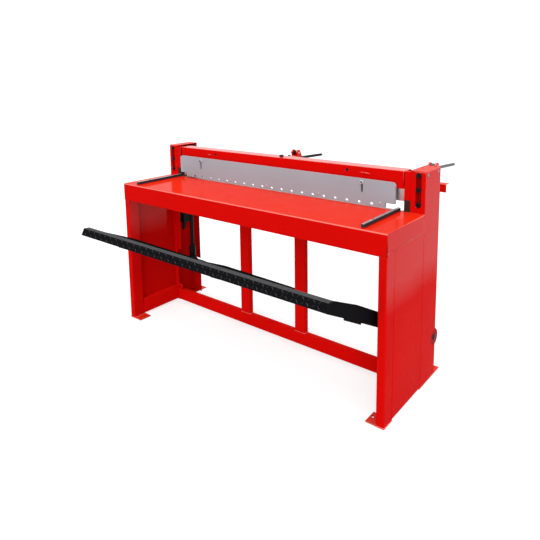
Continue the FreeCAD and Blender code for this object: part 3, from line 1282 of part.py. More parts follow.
def treadle():
    """Foot treadle: arm plates, tread angle, torque tube, link levers, shafts and link pins."""
    left = S.left_arm_inset - HALF
    middle = HALF * S.middle_arm_share
    arms = (("left", (left - S.arm_plate, left), False, S.tube_radius),
            ("middle", (middle - S.arm_plate, middle), False, S.tube_radius),
            ("right", (LEVER_OUTSIDE, TREADLE_HALF), True, S.pivot_radius))
    for side, across, end_plate, bore in arms:
        node(f"{side}_treadle_arm", tilt(arm_plate(f"{side}_arm", across, end_plate, bore)))
    rear, nose = S.tread_reach - S.tread_depth, S.tread_reach - S.tread_sheet
    profile = [
        (-S.tread_reach, S.tread_top_front), (-rear, S.tread_top_rear),
        (-rear, S.tread_top_rear - S.tread_sheet), (-nose, tread_top(nose) - S.tread_sheet),
        (-nose, -S.tread_face_drop), (-S.tread_reach, -S.tread_face_drop),
    ]
    node("tread_bar", tilt(plate("tread_angle", "x", (-TREADLE_HALF, LEVER_OUTSIDE), [profile])))
    ring = plate("tube_profile", "x", (-LEVER_INSIDE, LEVER_INSIDE),
                 circles=[(ZERO, ZERO, S.tube_radius), (ZERO, ZERO, S.tube_radius - S.tube_wall)])
    node("torque_tube", tilt(ring))
    node("link_levers", tilt(group("link_lever_set", [link_lever(side, sign) for side, sign in SIDES])))
    shafts, pins = [], []
    for side, sign in SIDES:
        journal = rod(f"{side}_journal", "x", (sign * LEVER_INSIDE, sign * (HALF + S.frame_sheet)),
                      (ZERO, ZERO), S.pivot_radius)
        plug = rod(f"{side}_shaft_plug", "x", (sign * (LEVER_INSIDE - S.shaft_plug), sign * LEVER_INSIDE),
                   (ZERO, ZERO), S.tube_radius - S.tube_wall)
        shafts.append(fuse(f"{side}_pivot_shaft", journal, plug))
        outer = TREADLE_HALF if sign > 0 else LEVER_OUTSIDE
        pin_ends = (sign * (LEVER_INSIDE - S.link_pin_head), sign * (outer + S.link_pin_head))
        pins.append(rod(f"{side}_link_pin", "x", pin_ends, (-S.lever_radius, ZERO), S.link_pin_radius))
    node("pivot_shafts", tilt(group("pivot_shaft_set", shafts)))
    node("link_pins", tilt(group("link_pin_set", pins)))


def check_and_write():
    """Stops on any failed feature, then writes one file for each sub-part."""
    doc.recompute()
    for thing in doc.Objects:
        if "Invalid" in thing.State or "Error" in thing.State:
            raise RuntimeError(f"{thing.Name} failed: {thing.State}")
    for name, thing in nodes.items():
        if thing.Shape.isNull() or not thing.Shape.isValid() or not thing.Shape.Solids:
            raise RuntimeError(f"{name} has no valid solid")
    os.makedirs("parts", exist_ok=True)
    for name, thing in nodes.items():
        thing.Shape.exportStep(f"parts/{name}.step")
        print(f"{name}: {len(thing.Shape.Solids)} solids, {thing.Shape.Volume / 1000:.1f} cm3")


table_top()
front_legs()
side_panels()
side_rails()
columns()
column_caps()
foot_plates()
cross_rail()
support_posts()
blade_beam()
lower_blade()
upper_blade()
ram_beam()
ram_shoes()
link_rods()
guides()
return_springs()
hold_down_guard()
shoulder_bolts()
squaring_bars()
pivot_bearings()
stop_block()
rear_tube()
rear_brackets()
gauge()
treadle()
check_and_write()
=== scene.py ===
"""Looks of the foot-operated guillotine shear: finishes, rounded folds, small parts, light and camera."""

import json
import math

import bmesh
import bpy
import numpy as np
from bpy.props import FloatProperty, FloatVectorProperty, IntProperty, PointerProperty
from mathutils import Matrix, Vector

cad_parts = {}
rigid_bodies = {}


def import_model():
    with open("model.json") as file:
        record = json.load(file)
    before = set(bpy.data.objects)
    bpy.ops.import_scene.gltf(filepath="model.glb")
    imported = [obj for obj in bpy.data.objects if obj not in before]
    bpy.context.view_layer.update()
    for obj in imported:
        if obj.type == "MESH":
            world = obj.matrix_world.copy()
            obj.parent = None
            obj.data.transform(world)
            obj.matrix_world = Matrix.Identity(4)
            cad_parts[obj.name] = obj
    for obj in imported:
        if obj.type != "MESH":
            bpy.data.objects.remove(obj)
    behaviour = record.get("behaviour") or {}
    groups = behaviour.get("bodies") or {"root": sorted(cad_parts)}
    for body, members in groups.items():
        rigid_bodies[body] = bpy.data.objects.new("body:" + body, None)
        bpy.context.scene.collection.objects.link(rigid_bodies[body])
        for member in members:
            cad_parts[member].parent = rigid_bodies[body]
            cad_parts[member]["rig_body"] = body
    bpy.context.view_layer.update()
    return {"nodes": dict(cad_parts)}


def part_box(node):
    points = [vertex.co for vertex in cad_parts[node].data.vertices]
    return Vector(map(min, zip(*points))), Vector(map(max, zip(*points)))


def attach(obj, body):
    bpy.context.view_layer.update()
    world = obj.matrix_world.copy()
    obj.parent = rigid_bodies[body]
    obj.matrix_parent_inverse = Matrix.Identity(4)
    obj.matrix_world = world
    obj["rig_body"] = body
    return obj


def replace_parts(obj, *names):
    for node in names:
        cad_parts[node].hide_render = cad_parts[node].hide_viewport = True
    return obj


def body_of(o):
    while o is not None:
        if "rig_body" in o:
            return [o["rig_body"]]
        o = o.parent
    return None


bl_info = {
    "name": "Guillotine shear",
    "version": (1, 0, 0),
    "blender": (4, 5, 0),
    "location": "View3D > Sidebar > Shear",
    "description": "Dresses the packed shear with finishes, rounded folds, turned parts and a studio",
    "category": "Object",
}

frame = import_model()

DEPTH0 = 0.047  # the origin lies this far behind the front of the table
FRAME_SHEET, BEARING_FLANGE = 0.004, 0.008
SHEEN_LEVEL = 0.50  # the glossy coat, which paints a sheen, reaches the side panels only above this height
GUIDE_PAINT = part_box("table_top")[1].z + 0.052  # lower end of the paint on the front guides
COLUMN_INSIDE = 0.757  # half width between the front faces of the columns
FOLD_HIGHLIGHT_RED = (0.95, 0.34, 0.28)  # painted highlight: the lighter red that the upper folds turn towards
FOLD_ANGLE = math.radians(35)  # an edge that turns more is a fold or a corner
# The row of sight holes in the guard
SIGHT_RADIUS, SIGHT_RISE, SIGHT_MARGIN, SIGHT_COUNT = 0.0065, 0.0095, 0.1255, 19
# The guard's upper corner radius, the width of its right notch and the stretch that moves with its right end
GUARD_CORNER, GUARD_NOTCH, GUARD_END = 0.028, 0.053, 0.035
# Hexagon bolts: half width and height of the head, radius and thickness of the washer
RAM_BOLT, RAM_BOLT_PLACE = (0.0095, 0.0095, 0.011, 0.002), (0.021, 0.388 - DEPTH0)
TUBE_BOLT, TUBE_BOLTS_ACROSS = (0.0075, 0.012, 0.0085, 0.0016), (-0.034, 0.744)
BEARING_BOLT, BEARING_CIRCLE = (0.005, 0.0055, 0.0065, 0.001), 0.0345
# Painted shade in the sockets of the left and right shoulder bolt: black six-sided discs, their radius and
# how far they stand out
LEFT_SOCKET_SHADE, RIGHT_SOCKET_SHADE, SOCKET_SHADE_DEPTH = (0.0058, 0.0004), (0.00415, -0.0012), 0.0022
# Gussets of the rear brackets: reach, drop below the cheek's top, cheek thickness, set back from its faces
GUSSET_REACH, GUSSET_DROP, CHEEK, GUSSET_INSET = 0.016, 0.012, 0.008, 0.0003
# Weld beads on the frame and on the brackets, and the level of the foot plates' beads
FRAME_BEAD, BRACKET_BEAD, FOOT_BEAD_LEVEL = 0.003, 0.0025, 0.0062
# Checker lugs: room left at the tread's ends, share of a row that a lug fills, and its slant's sine
LUG_MARGIN, LUG_FILL, LUG_SINE = 0.03, 0.86, 0.7071
FLOOR_RADIUS, FLOOR_CORNERS = 14.0, 96

RED_NODES = (
    "table_top", "left_front_leg", "right_front_leg", "left_side_panel", "right_side_panel",
    "left_side_rail", "right_side_rail", "left_column", "right_column", "left_column_cap",
    "right_column_cap", "foot_plates", "cross_rail", "support_posts", "blade_beam", "ram_beam",
    "ram_ribs", "rear_cross_tube", "rear_brackets", "gauge_fence",
)
RAM_NODES = ("ram_beam", "ram_ribs")
# Red nodes in the table's shade: a brighter copy of the red enamel, as painted light, and no sheen coat
INNER_NODES = ("cross_rail", "support_posts", "left_side_rail", "right_side_rail", "blade_beam")
# Thick plates, bars and blocks: rounding, finish, slot, nodes
SOLID_NODES = (
    (0.0012, "grey_enamel", "grey_plate", "hold_down_guard"),
    (0.0015, "guide_finish", "red_paint", "left_front_guide", "right_front_guide"),
    (0.0015, "oiled_steel", "black_paint", "rear_guides", "left_ram_shoe"),
    (0.0015, "guide_finish", "black_paint", "right_ram_shoe"),
    (0.001, "bar_finish", "bright_steel", "left_squaring_bar", "right_squaring_bar"),
    (0.0009, "treadle_black", "black_paint", "left_treadle_arm", "middle_treadle_arm", "right_treadle_arm"),
    (0.0009, "tread_plate", "black_paint", "tread_bar"),
    (0.0012, "treadle_black", "black_paint", "link_levers"),
    (0.0012, "black_enamel", "black_paint", "left_link_fork", "right_link_fork"),
    (0.002, "black_enamel", "black_paint", "stop_block"),
    (0.0015, "zinc_plate", "bright_steel", "gauge_clamps"),
    (0.0015, "dark_red_enamel", "dark_red_paint", "pivot_bearings"),
)
# Screws: node, way the head looks, head radius and height, shank radius, recess, the two reaches of
# the head's rounding, finish, slot
SCREWS = (
    ("guide_bolts", "front", 0.0108, 0.008, 0.005, 0.0052, 0.0009, 0.0009, "blackened", "black_oxide"),
    ("socket_screws", "front", 0.008, 0.005, 0.008, 0.0042, 0.0008, 0.0008, "blackened", "black_oxide"),
    ("shoulder_bolts", "front", 0.009, 0.006, 0.005, 0.0042, 0.001, 0.001, "bolt_grey", "bright_steel"),
    ("cap_screws", "out", 0.007, 0.003, 0.004, 0.0022, 0.0036, 0.0024, "dull_zinc", "bright_steel"),
    ("guard_screws", "front", 0.005, 0.0025, 0.003, 0.0016, 0.0026, 0.002, "zinc_plate", "bright_steel"),
    ("squaring_screws", "up", 0.005, 0.0038, 0.003, 0.0022, 0.0006, 0.0006, "blackened", "black_oxide"),
    ("lower_blade_screws", "back", 0.008, 0.0068, 0.005, 0.004, 0.0009, 0.0009, "blackened", "black_oxide"),
    ("upper_blade_screws", "front", 0.008, 0.0068, 0.005, 0.004, 0.0009, 0.0009, "blackened", "black_oxide"),
)
SCREW_STUB = 0.002  # shank of a screw whose node is all head
FINISH_OF_SLOT = {
    "red_paint": "red_enamel",
    "dark_red_paint": "dark_red_enamel",
    "grey_plate": "grey_enamel",
    "blade_steel": "ground_blade",
    "black_paint": "black_enamel",
    "black_oxide": "blackened",
    "bright_steel": "zinc_plate",
    "spring_steel": "spring_wire",
}


class Graph:
    """One node tree, with short ways to add the nodes that the finishes use."""

    def __init__(self, tree):
        self.tree = tree

    def feed(self, node, inputs):
        """Sets a node's inputs from values, or joins them to sockets."""
        for key, value in inputs.items():
            if isinstance(value, bpy.types.NodeSocket):
                self.tree.links.new(value, node.inputs[key])
            else:
                node.inputs[key].default_value = value
        return node

    def add(self, kind, inputs=None, **fields):
        node = self.tree.nodes.new(kind)
        for name, value in fields.items():
            setattr(node, name, value)
        return self.feed(node, inputs or {})

    def group(self, name, **inputs):
        return self.add("ShaderNodeGroup", inputs, node_tree=bpy.data.node_groups[name]).outputs

    def math(self, operation, a, b=0.0, clamp=False):
        return self.add("ShaderNodeMath", {0: a, 1: b}, operation=operation, use_clamp=clamp).outputs[0]

    def times(self, a, b, clamp=False):
        return self.math("MULTIPLY", a, b, clamp)

    def remap(self, value, low, high, to_low=0.0, to_high=1.0):
        return self.add(
            "ShaderNodeMapRange",
            {"Value": value, "From Min": low, "From Max": high, "To Min": to_low, "To Max": to_high},
        ).outputs["Result"]

    def blend(self, share, first, second):
        return self.add("ShaderNodeMix", {0: share, 6: first, 7: second}, data_type="RGBA").outputs[2]

    def bump(self, height, strength, distance=0.0002):
        return self.add(
            "ShaderNodeBump", {"Strength": strength, "Distance": distance, "Height": height}).outputs[0]

    def place(self):
        """The place on the piece, in the shear's own frame."""
        return self.add("ShaderNodeTexCoord").outputs["Object"]

    def noise(self, scale, detail=3.0, roughness=0.55, place=None):
        return self.add("ShaderNodeTexNoise", {
            "Vector": self.place() if place is None else place,
            "Scale": scale, "Detail": detail, "Roughness": roughness,
        }).outputs["Fac"]

    def spot(self):
        """The X, Y and Z of the place on the piece."""
        return self.add("ShaderNodeSeparateXYZ", {0: self.place()}).outputs

    def facing(self):
        """The X, Y and Z of the surface's normal."""
        normal = self.add("ShaderNodeNewGeometry").outputs["Normal"]
        return self.add("ShaderNodeSeparateXYZ", {0: normal}).outputs


def bare_graph(owner):
    """The emptied node tree of a material or a world."""
    owner.use_nodes = True
    owner.node_tree.nodes.clear()
    return Graph(owner.node_tree)


def shared_group(name, fill, outputs, **inputs):
    """A node group; fill(graph, inputs) returns the socket for each output.

    An input of one number is a value, of three a vector and of four a colour.
    """
    tree = bpy.data.node_groups.new(name, "ShaderNodeTree")
    kinds = {1: "NodeSocketFloat", 3: "NodeSocketVector", 4: "NodeSocketColor"}
    for label, value in inputs.items():
        socket = tree.interface.new_socket(name=label, in_out="INPUT", socket_type=kinds[np.size(value)])
        socket.default_value = value
    for label in outputs:
        kind = kinds[4 if label == "Color" else 1]
        tree.interface.new_socket(name=label, in_out="OUTPUT", socket_type=kind)
    graph = Graph(tree)
    given = graph.add("NodeGroupInput").outputs
    graph.add("NodeGroupOutput", dict(zip(outputs, fill(graph, given), strict=True)))


def fill_edge_wear(graph, given):
    """Mask of rubbed edges: how far the rounded normal leaves the face normal, broken up by noise."""
    rounded = graph.add("ShaderNodeBevel", {"Radius": given["Radius"]}, samples=4).outputs[0]
    flat = graph.add("ShaderNodeNewGeometry").outputs["True Normal"]
    along = graph.add(
        "ShaderNodeVectorMath", {0: rounded, 1: flat}, operation="DOT_PRODUCT").outputs["Value"]
    bent = graph.math("SUBTRACT", 1.0, along)
    patches = graph.remap(graph.noise(given["Scale"], 4.0), 0.35, 0.7, 0.25, 1.0)
    return [graph.times(graph.times(bent, patches), given["Amount"], clamp=True)]


def fill_tone_drift(graph, given):
    """The colour, a little lighter and darker in broad soft clouds and fine specks."""
    broad = graph.remap(graph.noise(given["Scale"], 2.0), 0.3, 0.7, -1.0, 1.0)
    fine = graph.remap(graph.noise(220.0, 2.0), 0.3, 0.7, -0.5, 0.5)
    total = graph.times(graph.math("ADD", broad, fine), given["Amount"])
    value = graph.math("ADD", 1.0, total)
    return [graph.add("ShaderNodeHueSaturation", {"Value": value, "Color": given["Color"]}).outputs[0]]


def fill_orange_peel(graph, given):
    """Height of sprayed enamel: fine ripples on a slow wave of the sheet under it."""
    ripples, waves = graph.noise(given["Scale"], 2.0), graph.noise(9.0, 1.0)
    return [graph.math("ADD", ripples, graph.times(waves, given["Wave"]))]


def fill_dust_and_top_light(graph, given):
    """Mask of settled dust, and on the red enamels of painted top light: strongest on faces that look up, in
    patches over an even share.
    """
    lying = graph.remap(graph.facing()["Z"], 0.2, 0.95)
    patches = graph.remap(graph.noise(given["Scale"], 5.0), 0.35, 0.75, given["Even"], 1.0)
    return [graph.times(graph.times(lying, patches), given["Amount"], clamp=True)]


def fill_grain(graph, given):
    """Height and shade of grinding or drawing marks: noise stretched along the marks."""
    place = graph.add("ShaderNodeMapping", {"Vector": graph.place(), "Scale": given["Stretch"]}).outputs[0]
    marks = graph.noise(1.0, 4.0, 0.7, place)
    return [marks, graph.remap(marks, 0.3, 0.7)]


def make_groups():
    """The effects that several finishes share."""
    shared_group("Edge wear", fill_edge_wear, ["Mask"], Radius=0.002, Amount=1.0, Scale=30.0)
    shared_group("Tone drift", fill_tone_drift, ["Color"], Color=(0.5, 0.5, 0.5, 1), Amount=0.04, Scale=3.0)
    shared_group("Orange peel", fill_orange_peel, ["Height"], Scale=300.0, Wave=2.0)
    shared_group("Dust and top light", fill_dust_and_top_light, ["Mask"], Amount=0.1, Scale=12.0, Even=0.0)
    shared_group("Grain", fill_grain, ["Height", "Shade"], Stretch=(1, 1, 1))


def new_material(name):
    """The graph of a new material and its Principled shader, which is joined to the output."""
    graph = bare_graph(bpy.data.materials.new(name))
    shader = graph.add("ShaderNodeBsdfPrincipled")
    graph.add("ShaderNodeOutputMaterial", {"Surface": shader.outputs[0]})
    return graph, shader


def lightened(colour, gain, lift):
    """A colour times a gain plus a lift, at most white, with its alpha."""
    return (*(min(1.0, c * gain + lift) for c in colour), 1)


def upper_folds(graph, strength):
    """Mask of the rounded folds between upright faces and faces that look up, where the red enamels get
    their painted highlight and sheen.
    """
    level = graph.facing()["Z"]
    rising = graph.remap(level, 0.15, 0.4, 0.0, strength)
    return graph.math("MINIMUM", rising, graph.remap(level, 0.92, 0.75, 0.0, strength))


def sheen_coat_mask(graph, lying=0.28, folded=0.9):
    """Mask of the glossy coat that paints a sheen: on upper side faces, on faces that look up, and most on
    the folds between.
    """
    facing = graph.facing()
    level = graph.math("ADD", graph.spot()["Z"], graph.times(graph.noise(5.0), 0.05))
    high = graph.remap(level, SHEEN_LEVEL, SHEEN_LEVEL + 0.12)
    side = graph.times(graph.remap(graph.math("ABSOLUTE", facing["X"]), 0.4, 0.9, 0.0, 0.3), high)
    top = graph.remap(facing["Z"], 0.15, 0.8, 0.0, lying)
    return graph.math("MAXIMUM", upper_folds(graph, folded), graph.math("MAXIMUM", side, top))


def behind_slot(graph):
    """Mask of a front guide where it lies behind the slot of its column, where it is painted darker as the
    slot's shade.
    """
    return graph.math("GREATER_THAN", graph.math("ABSOLUTE", graph.spot()["X"]), COLUMN_INSIDE + 0.002)


def low_on_guide(graph):
    """Mask of a front guide below its painted head, with an uneven paint line, and of its inner face."""
    spot = graph.spot()
    uneven = graph.times(graph.noise(60.0, 2.0), 0.006)
    low = graph.remap(graph.math("ADD", spot["Z"], uneven), GUIDE_PAINT + 0.004, GUIDE_PAINT)
    bare = graph.times(low, graph.math("LESS_THAN", graph.math("ABSOLUTE", spot["X"]), COLUMN_INSIDE))
    inward = graph.times(graph.facing()["X"], graph.math("SIGN", spot["X"]))
    return graph.math("MAXIMUM", bare, graph.math("LESS_THAN", inward, -0.7))


def on_top(graph):
    """Mask of the faces that look up."""
    return graph.remap(graph.facing()["Z"], 0.55, 0.75)


def enamel(name, colour, worn, roughness, peel, wear, dust, gloss=0.15, dust_and_top_light_colour=(0.3, 0.28, 0.27),
           sheen_coat=None, wave=3.0, even=0.0, fold_highlight=0.0):
    """Sprayed enamel: drifting tone, rubbed edges, a little dust on top faces (on the red enamels a lighter
    red that is painted top light), orange peel.

    Where the sheen coat mask is given, it places a clear gloss that paints a sheen, and the fold
    highlight amount is how far the colour lightens to a painted highlight on the upper folds.
    """
    graph, shader = new_material(name)
    tone = graph.group("Tone drift", Color=(*colour, 1), Amount=0.035, Scale=2.5)["Color"]
    rubbed = graph.group("Edge wear", Radius=0.0025, Amount=wear, Scale=35.0)["Mask"]
    dust_and_top_light_mask = graph.group("Dust and top light", Amount=dust, Scale=9.0, Even=even)["Mask"]
    tone = graph.blend(dust_and_top_light_mask, graph.blend(rubbed, tone, (*worn, 1)), (*dust_and_top_light_colour, 1))
    # Painted highlight: the upper folds lighten towards a pale red.
    if fold_highlight:
        tone = graph.blend(upper_folds(graph, fold_highlight), tone, (*FOLD_HIGHLIGHT_RED, 1))
    height = graph.group("Orange peel", Scale=peel, Wave=wave)["Height"]
    rough = graph.remap(graph.noise(14.0), 0.3, 0.7, roughness - 0.05, roughness + 0.07)
    rough = graph.math("ADD", rough, graph.times(dust_and_top_light_mask, 0.3), clamp=True)
    graph.feed(shader, {"Base Color": tone, "Roughness": rough, "Normal": graph.bump(height, 0.06, 0.0004),
                        "Specular IOR Level": gloss})
    # Painted sheen: the clear coat goes only where the mask puts it.
    if sheen_coat:
        graph.feed(shader, {"Coat Weight": sheen_coat(graph), "Coat Roughness": 0.1})


def parted(name, base, other, share, roughness, other_roughness, metallic, wear=1.2, shade=None, gloss=0.02):
    """Two finishes on one piece: share(graph) gives the mask of the second, such as ground or oiled steel.

    Where shade(graph) is given, it is the mask of painted shade, where the first turns darker.
    """
    graph, shader = new_material(name)
    mask = share(graph)
    tone = graph.group("Tone drift", Color=(*base, 1), Amount=0.04, Scale=6.0)["Color"]
    bare = graph.group("Tone drift", Color=(*other, 1), Amount=0.1, Scale=25.0)["Color"]
    marks = graph.group("Grain", Stretch=(260, 260, 40))
    # Painted shade: the first finish darkens under the shade mask.
    if shade:
        tone = graph.blend(shade(graph), tone, (*(0.35 * c for c in base), 1))
    rubbed = graph.group("Edge wear", Radius=0.0015, Amount=wear, Scale=50.0)["Mask"]
    tone = graph.blend(rubbed, graph.blend(mask, tone, bare), lightened(other, 1.6, 0.04))
    rough = graph.remap(mask, 0.0, 1.0, roughness, other_roughness)
    rough = graph.math("ADD", rough, graph.times(marks["Shade"], 0.12), clamp=True)
    height = graph.times(marks["Height"], mask)
    graph.feed(shader, {"Base Color": tone, "Roughness": rough, "Normal": graph.bump(height, 0.25),
                        "Metallic": graph.times(mask, metallic), "Specular IOR Level": gloss})


def metal(name, colour, roughness, stretch, bump, metallic=1.0, stain=(0.3, 0.25, 0.2), gloss=0.5,
          edge=0.05):
    """Bare or plated steel: drawn or ground marks, faint stains, brighter edges."""
    graph, shader = new_material(name)
    tone = graph.group("Tone drift", Color=(*colour, 1), Amount=0.06, Scale=20.0)["Color"]
    marks = graph.group("Grain", Stretch=stretch)
    spots = graph.remap(graph.noise(26.0, 5.0, 0.65), 0.52, 0.8, 0.0, 0.12)
    rubbed = graph.group("Edge wear", Radius=0.0012, Amount=1.6, Scale=60.0)["Mask"]
    tone = graph.blend(rubbed, graph.blend(spots, tone, (*stain, 1)), lightened(colour, 1.5, edge))
    rough = graph.remap(marks["Shade"], 0.0, 1.0, roughness - 0.08, roughness + 0.1)
    graph.feed(shader, {"Base Color": tone, "Roughness": rough, "Normal": graph.bump(marks["Height"], bump),
                        "Metallic": metallic, "Specular IOR Level": gloss})


def ring_faces(rows, columns, ring=False):
    """Quads between neighbouring rows of a grid whose columns run round and meet."""
    row = np.arange(rows if ring else rows - 1)[:, None]
    column = np.arange(columns)[None, :]
    across, up = (column + 1) % columns, (row + 1) % rows
    quads = [row * columns + column, row * columns + across, up * columns + across, up * columns + column]
    return np.stack(quads, -1).reshape(-1, 4)


def turned(profile, flats=(), segments=24, ring=False, spin=0.0, lobes=0, lobe_depth=0.0):
    """A profile of radius r and height h turned about Z: x = r cos t, y = r sin t, z = h.

    The rows in flats are hexagons, where r is divided by the cosine of the angle from the nearest
    middle of a side. Lobes take lobe_depth (1 - cos(lobes t)) / 2 off the radius, as in a knurl.
    """
    profile = np.asarray(profile, float)
    t = np.arange(segments) * (2 * math.pi / segments)
    reach = np.repeat(profile[:, :1], segments, axis=1)
    reach[list(flats)] /= np.cos((t + math.pi / 6) % (math.pi / 3) - math.pi / 6)
    if lobes:
        reach[1:-1] -= lobe_depth * (1 - np.cos(lobes * t)) / 2
    height = np.repeat(profile[:, 1:], segments, axis=1)
    points = np.stack([reach * np.cos(t + spin), reach * np.sin(t + spin), height], -1)
    return points.reshape(-1, 3), [ring_faces(len(profile), segments, ring)]


def placed(part, origin, axis):
    """The part with its Z axis turned to the given axis and its origin moved."""
    points, faces = part
    turn = np.array(Vector(axis).to_track_quat("Z", "Y").to_matrix())
    return points @ turn.T + np.asarray(origin, float), faces


def circle(radius, corners):
    """Points of a circle about the origin, in order."""
    t = np.arange(corners) * (2 * math.pi / corners)
    return np.stack([np.cos(t), np.sin(t)], 1) * radius


def carried(section, path, scale=None):
    """A closed section carried along a path: path + scale (s side + v over), where side is the
    path's direction crossed with Z and over is side crossed with the direction; both ends closed."""
    section, path = np.asarray(section, float), np.asarray(path, float)
    along = np.gradient(path, axis=0)
    along /= np.linalg.norm(along, axis=1, keepdims=True)
    side = np.cross(along, (0.0, 0.0, 1.0))
    side /= np.linalg.norm(side, axis=1, keepdims=True)
    over = np.cross(side, along)
    scale = np.ones(len(path)) if scale is None else scale
    offset = side[:, None] * section[None, :, :1] + over[:, None] * section[None, :, 1:]
    points = path[:, None] + offset * scale[:, None, None]
    rows, columns = len(path), len(section)
    ends = np.stack([np.arange(columns)[::-1], (rows - 1) * columns + np.arange(columns)])
    return points.reshape(-1, 3), [ring_faces(rows, columns), ends]


def bead(start, end, radius):
    """A weld bead: a round section whose radius swells by a tenth with each ripple along the seam."""
    start, end = np.asarray(start, float), np.asarray(end, float)
    length = float(np.linalg.norm(end - start))
    ripples = max(3, round(length / (1.5 * radius)))
    share = np.linspace(0, 1, 3 * ripples + 1)
    path = start + share[:, None] * (end - start)
    swell = 1 + 0.1 * np.cos(2 * math.pi * ripples * share) + 0.05 * np.sin(17 * share)
    swell *= np.clip(0.45 + np.minimum(share, 1 - share) * length / radius, 0, 1)
    return carried(circle(radius, 8), path, swell)


def bead_round(low, high, z, radius):
    """Four beads round the foot of an upright tube whose plan is a rectangle."""
    a, b, c, d = low[0], low[1], high[0], high[1]
    corners = [(a, b, z), (c, b, z), (c, d, z), (a, d, z)]
    return [bead(corners[i], corners[(i + 1) % 4], radius) for i in range(4)]


def screw(head_radius, head_height, shank_radius, shank_length, recess, wide, tall):
    """A screw turned about Z, its head from z = 0 up and its shank below, with a six-sided recess.

    The head's edge is a quarter of an ellipse, and the recess is as deep as six tenths of the head.
    """
    chamfer, lip = 0.0005, 0.0003
    quarter = np.linspace(0, math.pi / 2, 4)
    edge = np.stack([
        head_radius - wide * (1 - np.cos(quarter)), head_height - tall * (1 - np.sin(quarter))], 1)
    rows = [
        (0, -shank_length), (shank_radius - chamfer, -shank_length), (shank_radius, chamfer - shank_length)]
    if head_radius > shank_radius + 1e-4:
        rows += [(shank_radius, 0), (head_radius, 0)]
    rows += [tuple(row) for row in edge]
    first = len(rows)
    rows += [(recess + lip, head_height), (recess, head_height - lip)]
    rows += [(recess, 0.4 * head_height), (0, 0.35 * head_height)]
    return turned(rows, flats=(first, first + 1, first + 2))


def hex_bolt(half_width, height, washer_radius, washer):
    """A six-sided bolt head with a turned crown on a washer, standing on z = 0."""
    rows = [
        (0, 0), (washer_radius, 0), (washer_radius, washer), (half_width, washer),
        (half_width, height * 0.82), (half_width * 0.96, height), (0, height)]
    return turned(rows, flats=(3, 4))


def nut(half_width, height, bore, spin):
    """A six-sided nut with turned crowns and an open bore, standing on z = 0."""
    rows = [
        (bore, 0), (half_width * 0.97, 0), (half_width, height * 0.14), (half_width, height * 0.86),
        (half_width * 0.97, height), (bore, height)]
    return turned(rows, flats=(2, 3), ring=True, spin=spin)


def pin(radius, length, groove):
    """A turned pin from z = 0 to its length, with chamfers and a ring groove near the far end."""
    cut, rim, near, far = min(0.0012, radius / 4), radius - 0.0008, length - groove - 0.0012, length - groove
    rows = [
        (0, 0), (radius - cut, 0), (radius, cut), (radius, near), (rim, near), (rim, far), (radius, far),
        (radius, length - cut), (radius - cut, length), (0.0025, length), (0, length - 0.002)]
    return turned(rows, segments=32)


def shaft(plug, journal, length):
    """A plug that fills its tube for 10 mm, then a thicker journal with a chamfer and a centre mark."""
    rows = [(0, 0), (plug, 0), (plug, 0.01), (journal, 0.01), (journal, length - 0.0015),
            (journal - 0.0015, length), (0.004, length), (0, length - 0.004)]
    return turned(rows, segments=40)


def knob(radius, length, height):
    """The screw of a knob from z = 0 and its knurled head of the given height, as two parts."""
    head = length - height
    screw_rows = [(0, 0), (0.0035, 0), (0.004, 0.0005), (0.004, head + 0.001), (0, head + 0.001)]
    knob_rows = [
        (0, head), (radius * 0.7, head), (radius, head + 0.002), (radius, length - 0.002),
        (radius * 0.86, length), (radius * 0.5, length), (radius * 0.45, length - 0.001),
        (0, length - 0.001)]
    return turned(screw_rows, segments=16), turned(knob_rows, segments=96, lobes=24, lobe_depth=0.0012)


def lug(along, across, height):
    """A raised lens of a checker plate: an ellipse at its foot and a narrower one at its flat crown."""
    outline = circle(0.5, 10) * (along, across)
    low = np.column_stack([outline, np.full(10, -0.0002)])
    top = np.column_stack([outline * (0.82, 0.5), np.full(10, height)])
    ends = np.stack([np.arange(10)[::-1], 10 + np.arange(10)])
    return np.vstack([low, top]), [ring_faces(2, 10), ends]


def mesh_points(mesh):
    """The places of a mesh's vertices as rows."""
    points = np.empty(len(mesh.vertices) * 3, np.float32)
    mesh.vertices.foreach_get("co", points)
    return points.reshape(-1, 3)


def solid_boxes(node):
    """Corners of each separate solid of a node, from labels that spread along its edges."""
    mesh = frame["nodes"][node].data
    points = mesh_points(mesh).astype(float)
    ends = np.empty(len(mesh.edges) * 2, int)
    mesh.edges.foreach_get("vertices", ends)
    _, same = np.unique(points.round(6), axis=0, return_inverse=True)
    same = same.reshape(-1)
    one, two = same[ends].reshape(-1, 2).T
    label = np.arange(same.max() + 1)
    while True:
        before = label.copy()
        least = np.minimum(label[one], label[two])
        np.minimum.at(label, one, least)
        np.minimum.at(label, two, least)
        label = label[label]
        if (label == before).all():
            break
    owner = label[same]
    return [(points[owner == k].min(0), points[owner == k].max(0)) for k in np.unique(owner)]


def lying_solids(node, way=None):
    """For each solid of a node that lies along X: its radius, length, inner end and outward axis."""
    for low, high in solid_boxes(node):
        sign = way or math.copysign(1, low[0])
        start = ((low if sign > 0 else high)[0], (low[1] + high[1]) / 2, (low[2] + high[2]) / 2)
        yield (high[1] - low[1]) / 2, high[0] - low[0], start, (sign, 0, 0)


def seated(name, mesh, finish, body, sharp=35.0):
    """A piece with the given mesh and finish, smooth up to the given angle, on its body."""
    mesh.shade_smooth()
    mesh.set_sharp_from_angle(angle=math.radians(sharp))
    mesh.materials.append(bpy.data.materials[finish])
    piece = bpy.data.objects.new(name, mesh)
    bpy.context.scene.collection.objects.link(piece)
    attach(piece, body)
    return piece


